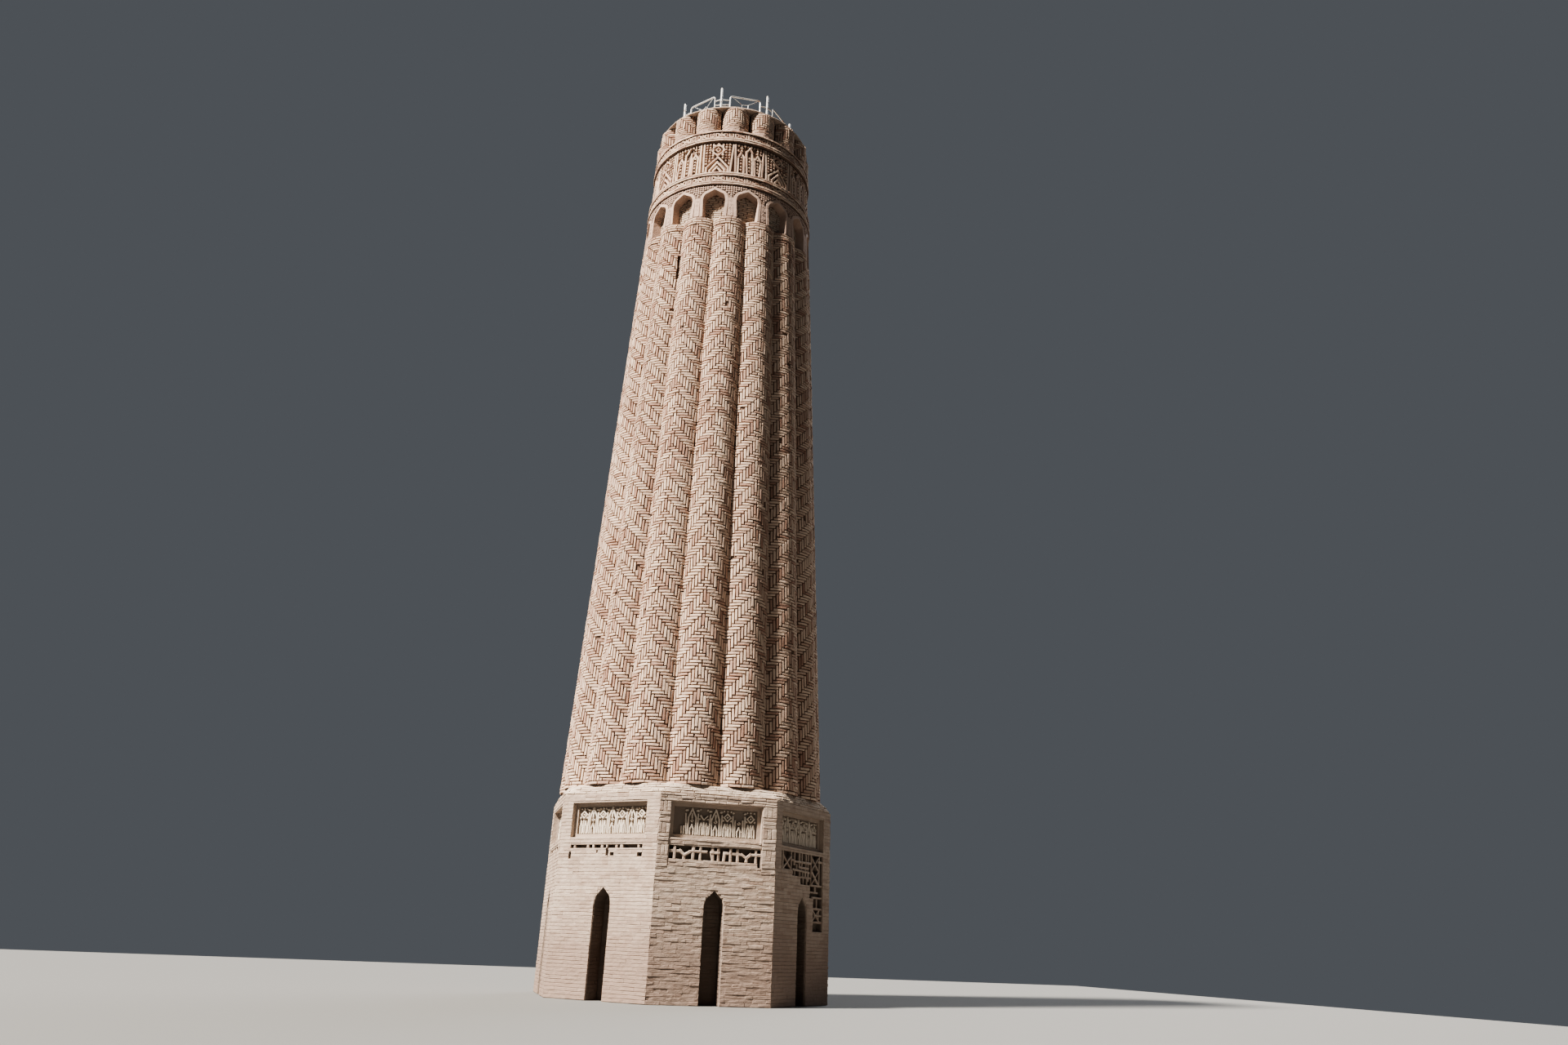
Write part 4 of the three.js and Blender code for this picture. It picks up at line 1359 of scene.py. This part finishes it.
rib_parts = []
for index, foot in enumerate(RIB_FEET):
    middle = foot + RIB_HEIGHT / 2
    count = round(2 * math.pi * crown_radius(middle) / (RIB_BRICK + RIB_SPARE))
    length = 2 * math.pi * crown_radius(middle) / count - RIB_JOINT
    spot = [(0, middle, length, RIB_WIDTH, 0)]
    for step, azimuth in enumerate(around(count, first=7 * index)):
        surface = drum_surface(azimuth, 0.0, middle)
        rib_parts.append(lay(rib_mould, spot, surface, 1000 + 100 * index + step, askew=0.4, play=0.004))
build("rib_bricks", rib_parts, shaft_brick)
print("bricks in the ribs:", len(rib_parts))

# %% [markdown]
# ## The two narrow friezes
#
# Between the ribs run two narrow friezes of cut brick: a square ring with a dot, a bar on either
# side, and a cross laid among four dots. It is a pattern that many brick towers carry. One length of
# it is drawn with strokes, and repeated round the tower with a fresh draw of wear for each length.
# %% Narrow friezes
NARROW_SINK = 0.022
NARROW_FRIEZES = {"lower": (19.152, 19.304), "upper": (20.546, 20.712)}
NARROW_PERIODS = 26
band_mould = mould_brick(length=0.15, width=0.026, depth=0.036, edge=0.005)


def ring_and_cross(period, low, high):
    middle, tall = (low + high) / 2, high - low
    spots = square_ring(0, middle, 0.3 * tall, 0.032)
    spots += dot(0, middle, 0.026)
    side = 0.3 * tall + 0.056
    spots += [upright(place, low + 0.012, high - 0.012, 0.036) for place in (-side, side)]
    near, far = side + 0.038, period - side - 0.038
    centre = period / 2
    spots += strokes([(near, low + 0.03), (far, high - 0.03)], 0.038)
    spots += strokes([(near, high - 0.03), (far, low + 0.03)], 0.038)
    for shift in (-1, 1):
        spots += dot(centre, middle + shift * 0.37 * tall, 0.036)
        spots += dot(centre + shift * 0.32 * (far - near), middle, 0.03)
    return spots


for name, (low, high) in NARROW_FRIEZES.items():
    middle = (low + high) / 2
    spots = ring_and_cross(2 * math.pi * crown_radius(middle) / NARROW_PERIODS, low, high)
    parts = []
    for step, azimuth in enumerate(around(NARROW_PERIODS)):
        surface = drum_surface(azimuth, NARROW_SINK, middle)
        parts.append(lay(band_mould, spots, surface, 2000 + step, wear=0.002, askew=2))
    build(f"narrow_frieze_{name}", parts, shaft_brick)
    hand_over(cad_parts[f"{name}_band"], relief_ground)
print("bars in one length:", len(spots))

# %% [markdown]
# ## The main frieze
#
# The broad frieze under the tier is the richest band. Here it carries plain geometry in place of
# the carved one: eight-pointed stars over nested gables, by turns with rows of lancets, and small
# lozenges and crosses sown closely over its upper half. It could be a displaced strip, but that
# would round off every corner. The bars are laid on a sunk ground instead, and bend with the tower.
# %% Main frieze
FRIEZE_SINK = 0.062
FRIEZE_BAR = 0.048
frieze_mould = mould_brick(length=0.3, width=FRIEZE_BAR, depth=0.056, edge=0.008, bends=True)
FRIEZE_MIDDLE = (FRIEZE_TOP + FRIEZE_FOOT) / 2
FRIEZE_CELL = 2 * math.pi * crown_radius(FRIEZE_MIDDLE) / LOBES
FRIEZE_LOST = 0.02  # the share of bars that have fallen out


def sown(left, right, low, high, step, taken):
    """Lozenges by turns with crosses on a grid, wherever the place isn't taken."""
    spots = []
    columns, rows = round((right - left) / step), round((high - low) / step)
    for column in range(columns + 1):
        for row in range(rows + 1):
            x, y = left + (right - left) * column / columns, low + (high - low) * row / rows
            if taken(x, y):
                continue
            spots += dot(x, y, 0.043) if (column + row) % 2 else cross(x, y, 0.066, 0.024)
    return spots


def star_cell():
    """Nested gables under an eight-pointed star, in metres from the foot of the frieze."""
    spots = []
    for half, springing, apex in ((0.285, 0.17, 0.5), (0.19, 0.08, 0.34), (0.09, 0.05, 0.18)):
        spots += lancet(0, 0.035, half, springing, apex, FRIEZE_BAR)
    centre = 0.73
    for turn in (0, 45):
        spots += square_ring(0, centre, 0.13, 0.036, turn)
    spots += square_ring(0, centre, 0.045, 0.028, turn=45)

    def taken(x, y):
        return math.hypot(x, y - centre) < 0.21 or y < 0.6 - abs(x)
    return spots + sown(-0.3, 0.3, 0.3, 0.91, 0.086, taken)


def lancet_cell():
    """Three lancets filled with lozenges."""
    spots = []
    for place, tall in ((-0.22, 0.66), (0, 0.86), (0.22, 0.66)):
        spots += lancet(place, 0.035, 0.074, tall - 0.13, tall, FRIEZE_BAR)
        for up in (0.13, 0.23, 0.33, 0.43, 0.53):
            spots += dot(place, up, 0.044)

    def taken(x, y):
        return abs(x) < 0.13 and y < 0.9 or y < 0.72
    spots += sown(-0.3, 0.3, 0.74, 0.91, 0.086, taken)
    return spots + [upright(side * 0.112, 0.05, 0.6, 0.026) for side in (-1, 1)]


def frieze_spots(cell):
    spots = star_cell() if cell % 2 else lancet_cell()
    edge = FRIEZE_CELL / 2 - 0.046
    spots += [upright(side * edge, 0.03, 0.94, FRIEZE_BAR) for side in (-1, 1)]
    return shifted(spots, 0, FRIEZE_FOOT)


for quarter, name in enumerate(QUARTERS):
    parts = []
    for azimuth in quarter_azimuths(quarter):
        cell = round(azimuth / LOBE_PITCH)
        seed = 3000 + cell
        random = np.random.default_rng(seed)
        spots = [spot for spot in frieze_spots(cell) if random.random() > FRIEZE_LOST]
        surface = drum_surface(azimuth, FRIEZE_SINK, FRIEZE_MIDDLE)
        parts.append(lay(frieze_mould, spots, surface, seed, wear=0.003, askew=1.8, play=0.006))
    build(f"main_frieze_relief_{name}", parts, shaft_brick)
hand_over(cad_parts["main_frieze"], relief_ground)
print("bars in one cell:", len(spots))

# %% [markdown]
# ## The tier of short columns
#
# Under the roof stand sixteen half-round columns, one over each lobe. They carry the shaft's
# herringbone on a tighter curve, over a few level courses and a pale base. The solids are plain half
# rounds. The same setting out as the shaft's, with limits of its own, keeps the joints true to scale.
# %% Tier bricks
COLUMN_RADIUS, COLUMN_CENTRE = 0.336, 1.732
COLUMN_SWEEP = 74
LEVEL_FROM, HERRINGBONE_FROM = 20.9, 21.0
HERRINGBONE_TOP = TIER_TOP - HEAD_GAP
column_reach = math.radians(COLUMN_SWEEP) * COLUMN_RADIUS


def column_surface(azimuth):
    def surface(across, height, out):
        turn = across / COLUMN_RADIUS
        reach = COLUMN_RADIUS + out
        return to_space(reach * np.sin(turn), COLUMN_CENTRE + reach * np.cos(turn), height, azimuth)
    return surface


def column_half(side, height):
    """The same to both sides and at every height."""
    return column_reach


top_row = int(HERRINGBONE_TOP / PITCH)
column_ends = level_ends(-column_reach, column_reach)
column_spots = herringbone(column_half, HERRINGBONE_FROM, HERRINGBONE_TOP, phase=(top_row - SPAN) % REPEAT)
level_spots = courses(column_ends, LEVEL_FROM, HERRINGBONE_FROM, 4000, course=0.05, joint=0.008, bed=0.014)
base_spots = courses(column_ends, TIER_FOOT, LEVEL_FROM, 4001, course=0.06, joint=0.004, bed=0.007)
for quarter, name in enumerate(QUARTERS):
    bricks, bases = [], []
    for azimuth in quarter_azimuths(quarter):
        surface = column_surface(azimuth + LOBE_PITCH / 2)
        seed = 4100 + round(azimuth)
        bricks.append(lay(bent_mould, column_spots, surface, seed))
        bricks.append(lay(bent_mould, level_spots, surface, seed + 1))
        bases.append(lay(bent_mould, base_spots, surface, seed + 2))
    build(f"tier_bricks_{name}", bricks, shaft_brick)
    build(f"tier_bases_{name}", bases, arch_plaster)
hand_over(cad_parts["column_tier"], joint_mortar)
print("bricks on one column:", len(column_spots) + len(level_spots))

# %% [markdown]
# ## The roof slab
#
# A flat slab closes the head and stands a little past the columns. On it lies a screed whose edge has
# worn back. Two discs could be stacked, but their faces would meet inside the slab. So a cylinder has
# its ends inset and its wall cut level, the points above the cut are drawn in, the rims are bevelled,
# and a Displace modifier makes them as uneven as the real ones.
# %% Roof slab
SLAB_SIDES, SLAB_THICK, SLAB_INSETS = 360, 0.036, (0.05, 0.1, 0.3)
SCREED_SHARE, SCREED_STEP = 0.985, 0.003
slab_low, slab_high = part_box("roof_slab")
slab = start(
    bpy.ops.mesh.primitive_cylinder_add, vertices=SLAB_SIDES, radius=slab_high.x - CLEARANCE,
    depth=slab_high.z - slab_low.z, location=(0, 0, (slab_high.z + slab_low.z) / 2),
)
pick(slab, lambda face: abs(face.normal.z) > 0.9)
for step in SLAB_INSETS:
    bpy.ops.mesh.inset(thickness=step)
slab_edge = slab_low.z + SLAB_THICK
for height in (slab_edge, slab_edge + SCREED_STEP):
    bpy.ops.mesh.select_all(action="SELECT")
    bpy.ops.mesh.bisect(plane_co=(0, 0, height), plane_no=(0, 0, 1))
pick(slab, lambda edge: all(v.co.z > slab_edge + 0.002 for v in edge.verts), "edges")
bpy.ops.transform.resize(value=(SCREED_SHARE, SCREED_SHARE, 1), center_override=(0, 0, slab_edge))
bpy.ops.object.mode_set(mode="OBJECT")
slab.name = "roof_cement"
apply_modifier(slab, "BEVEL", width=0.009, segments=2, limit_method="ANGLE")
apply_modifier(slab, "DISPLACE", texture=clouds("rim wear", 0.16), strength=0.026, mid_level=0.62)
hand_over(slab, cement)
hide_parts("roof_slab")
print("faces on the slab:", len(slab.data.polygons))

# %% [markdown]
# ## The railing
#
# The roof had a railing of steel pipe: posts, bent hoops between them, short rails that tie the two,
# and thin rods that brace a small arch in each hoop. A pipe could be a row of cylinders, but they
# would gape at the bends. It is a curve with a round bevel and closed ends, made a mesh once it is
# drawn, and its bends are cut smooth by sliding along both legs.
# %% Railing
RAIL_RADIUS, POST_RADIUS, PIPE_RADIUS, LINK_RADIUS, ROD_RADIUS = 1.93, 0.029, 0.02, 0.014, 0.0065
POST, HOOP, HOOP_BEND, HOOP_SETBACK = 0.66, 0.4, 0.09, 6
LINK_RISES = (0.12, 0.28)
BAY_TURN, LOOSE_TURN = 32, 0.9
PIPE_FOOT, BEND_STEPS = 0.001, 6


def on_roof(azimuth, rise):
    turn = math.radians(azimuth)
    return Vector((RAIL_RADIUS * math.sin(turn), -RAIL_RADIUS * math.cos(turn), ROOF + rise))


def rounded(points, bend):
    """Cuts each inner corner of a route with a smooth bend."""
    route = [points[0]]
    for before, corner, after in zip(points, points[1:], points[2:]):
        first = corner + (before - corner).normalized() * bend
        last = corner + (after - corner).normalized() * bend
        for step in range(BEND_STEPS + 1):
            t = step / BEND_STEPS
            route.append(first * (1 - t) ** 2 + corner * 2 * t * (1 - t) + last * t**2)
    return route + [points[-1]]


def pipes(routes, radius):
    curve = bpy.data.curves.new("pipes", "CURVE")
    curve.dimensions = "3D"
    curve.bevel_depth = radius
    curve.bevel_resolution = 2
    curve.use_fill_caps = True
    for route in routes:
        spline = curve.splines.new("POLY")
        spline.points.add(len(route) - 1)
        for point, place in zip(spline.points, route):
            point.co = (*place, 1)
    piece = bpy.data.objects.new("pipes", curve)
    bpy.context.scene.collection.objects.link(piece)
    select_only(piece)
    bpy.ops.object.convert(target="MESH")
    return bpy.context.object


# %% [markdown]
# ## The bays of the railing
#
# On the front little is straight any more: one hoop leans, one hangs down to a broken post, and both
# flanks are bare. Whole bays could be copied all round, but the ruin is what one sees from below,
# so the front's pipes are listed one by one. The right and the back have whole bays.
# %% Railing bays
# A rod is a row of points: the share of the way along its hoop, and the rise above the roof.
WHOLE_RODS = [
    [(0.1, 0.365), (0.4, 0.175)],
    [(0.9, 0.365), (0.6, 0.2)],
    [(0.4, PIPE_FOOT), (0.4, 0.175), (0.6, 0.2), (0.6, PIPE_FOOT)],
]
LOW_RODS = [
    [(0.9, 0.37), (0.69, 0.15)],
    [(0.17, 0.23), (0.55, 0.04)],
    [(0.54, PIPE_FOOT), (0.55, 0.1), (0.625, 0.16), (0.69, 0.12), (0.71, PIPE_FOOT)],
]
SAG_RODS = [[(0.03, 0.27), (0.09, PIPE_FOOT)]]
# Posts are azimuth and rise. Hoops and links are azimuth and rise at either end.
FRONT = {
    "posts": [(-57, 0.49), (-24, POST), (13, 0.64), (37, 0.2)],
    "hoops": [
        (-50, 0.26, -29, 0.41, LOW_RODS),
        (-17, HOOP, 7, HOOP, WHOLE_RODS),
        (18, 0.33, 37, 0.025, SAG_RODS),
    ],
    "links": [
        (-57, 0.1, -50, 0.1), (-29, 0.12, -24, 0.12), (-29, 0.25, -24, 0.3), (-24, 0.12, -17, 0.12),
        (-24, 0.29, -17, 0.26), (7, 0.24, 13, 0.27), (13, 0.29, 18, 0.205),
    ],
}


def whole_bays(first, count, closed=False):
    """Whole bays of a post and the hoop after it. Closed ends on a post, and otherwise on loose rails."""
    azimuths = [first + BAY_TURN * bay for bay in range(count)]
    hoops, links = [], []
    for azimuth in azimuths[:-1] if closed else azimuths:
        loose = LOOSE_TURN if azimuth == azimuths[-1] else 0
        near, far = azimuth + HOOP_SETBACK, azimuth + BAY_TURN - HOOP_SETBACK
        hoops.append((near, HOOP, far, HOOP, WHOLE_RODS))
        for rise in LINK_RISES:
            links += [(azimuth, rise, near, rise), (far, rise, azimuth + BAY_TURN - loose, rise)]
    return {"posts": [(azimuth, POST) for azimuth in azimuths], "hoops": hoops, "links": links}


def railing_routes(bays):
    """The routes of each size of pipe, with its radius."""
    uprights = [[on_roof(azimuth, PIPE_FOOT), on_roof(azimuth, rise)] for azimuth, rise in bays["posts"]]
    links = [[on_roof(a, rise), on_roof(b, end_rise)] for a, rise, b, end_rise in bays["links"]]
    hoops, rods = [], []
    for near, near_rise, far, far_rise, braces in bays["hoops"]:
        route = [on_roof(near, PIPE_FOOT), on_roof(near, near_rise)]
        route += [on_roof(far, far_rise), on_roof(far, PIPE_FOOT)]
        hoops.append(rounded(route[:3] if far_rise < HOOP_BEND else route, HOOP_BEND))
        for brace in braces:
            rods.append([on_roof(near, rise).lerp(on_roof(far, rise), share) for share, rise in brace])
    return ((uprights, POST_RADIUS), (hoops, PIPE_RADIUS), (links, LINK_RADIUS), (rods, ROD_RADIUS))


BAYS = {"front": FRONT, "right": whole_bays(90, 3), "back": whole_bays(186, 3, closed=True)}
for name, bays in BAYS.items():
    select_only(*[pipes(routes, radius) for routes, radius in railing_routes(bays)])
    bpy.ops.object.join()
    railing = bpy.context.object
    railing.name = f"railing_pipes_{name}"
    bpy.ops.object.shade_smooth_by_angle(angle=math.radians(40))
    hand_over(railing, zinc_pipe)
    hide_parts(f"railing_{name}")
    print("railing", name, len(railing.data.polygons), "faces")

# %% [markdown]
# ## The stage
#
# The object stands on a plain pale floor. One lamp straight ahead would flatten the lobes, so a
# strong one stands high on the left and gives them their bright and dark flanks. Pale surroundings
# fill the shade, and a weak broad lamp behind on the right keeps the far sides readable. A little
# more contrast in the view keeps the joints as dark as they are in the photograph.
# %% Stage
FLOOR_SIZE, FLOOR_DROP = 44, 0.002
bpy.ops.object.select_all(action="DESELECT")
bpy.ops.mesh.primitive_plane_add(size=FLOOR_SIZE, location=(0, 0, -FLOOR_DROP))
floor = bpy.context.object
floor.name = "floor"
floor_paint, tree, inputs = new_material("floor paint")
wire(tree, (0.13, 0.127, 0.12, 1), inputs["Base Color"])
wire(tree, 0.9, inputs["Roughness"])
floor.data.materials.append(floor_paint)
floor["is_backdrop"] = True


def add_sun(name, azimuth, elevation, strength, softness, tint):
    lamp = bpy.data.lights.new(name, "SUN")
    lamp.energy = strength
    lamp.angle = math.radians(softness)
    lamp.color = tint
    holder = bpy.data.objects.new(name, lamp)
    turn, lift = math.radians(azimuth), math.radians(elevation)
    towards = Vector((math.sin(turn) * math.cos(lift), -math.cos(turn) * math.cos(lift), math.sin(lift)))
    holder.rotation_euler = towards.to_track_quat("Z", "Y").to_euler()
    bpy.context.scene.collection.objects.link(holder)


add_sun("key", azimuth=-69, elevation=51, strength=16.5, softness=6, tint=(1.0, 0.95, 0.88))
add_sun("far side", azimuth=140, elevation=35, strength=2.0, softness=40, tint=(0.95, 0.97, 1.0))
world = bpy.data.worlds.new("surroundings")
world.use_nodes = True
sky = world.node_tree.nodes["Background"].inputs
sky["Color"].default_value = (0.8, 0.86, 0.95, 1)
sky["Strength"].default_value = 0.115
bpy.context.scene.world = world
bpy.context.scene.view_settings.look = "AgX - Medium High Contrast"
print("lights:", len(bpy.data.lights))

# %% [markdown]
# ## Sizes
#
# The bounds of the dressed tower are taken, without the floor.
# %% Sizes and finish
low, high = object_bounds()
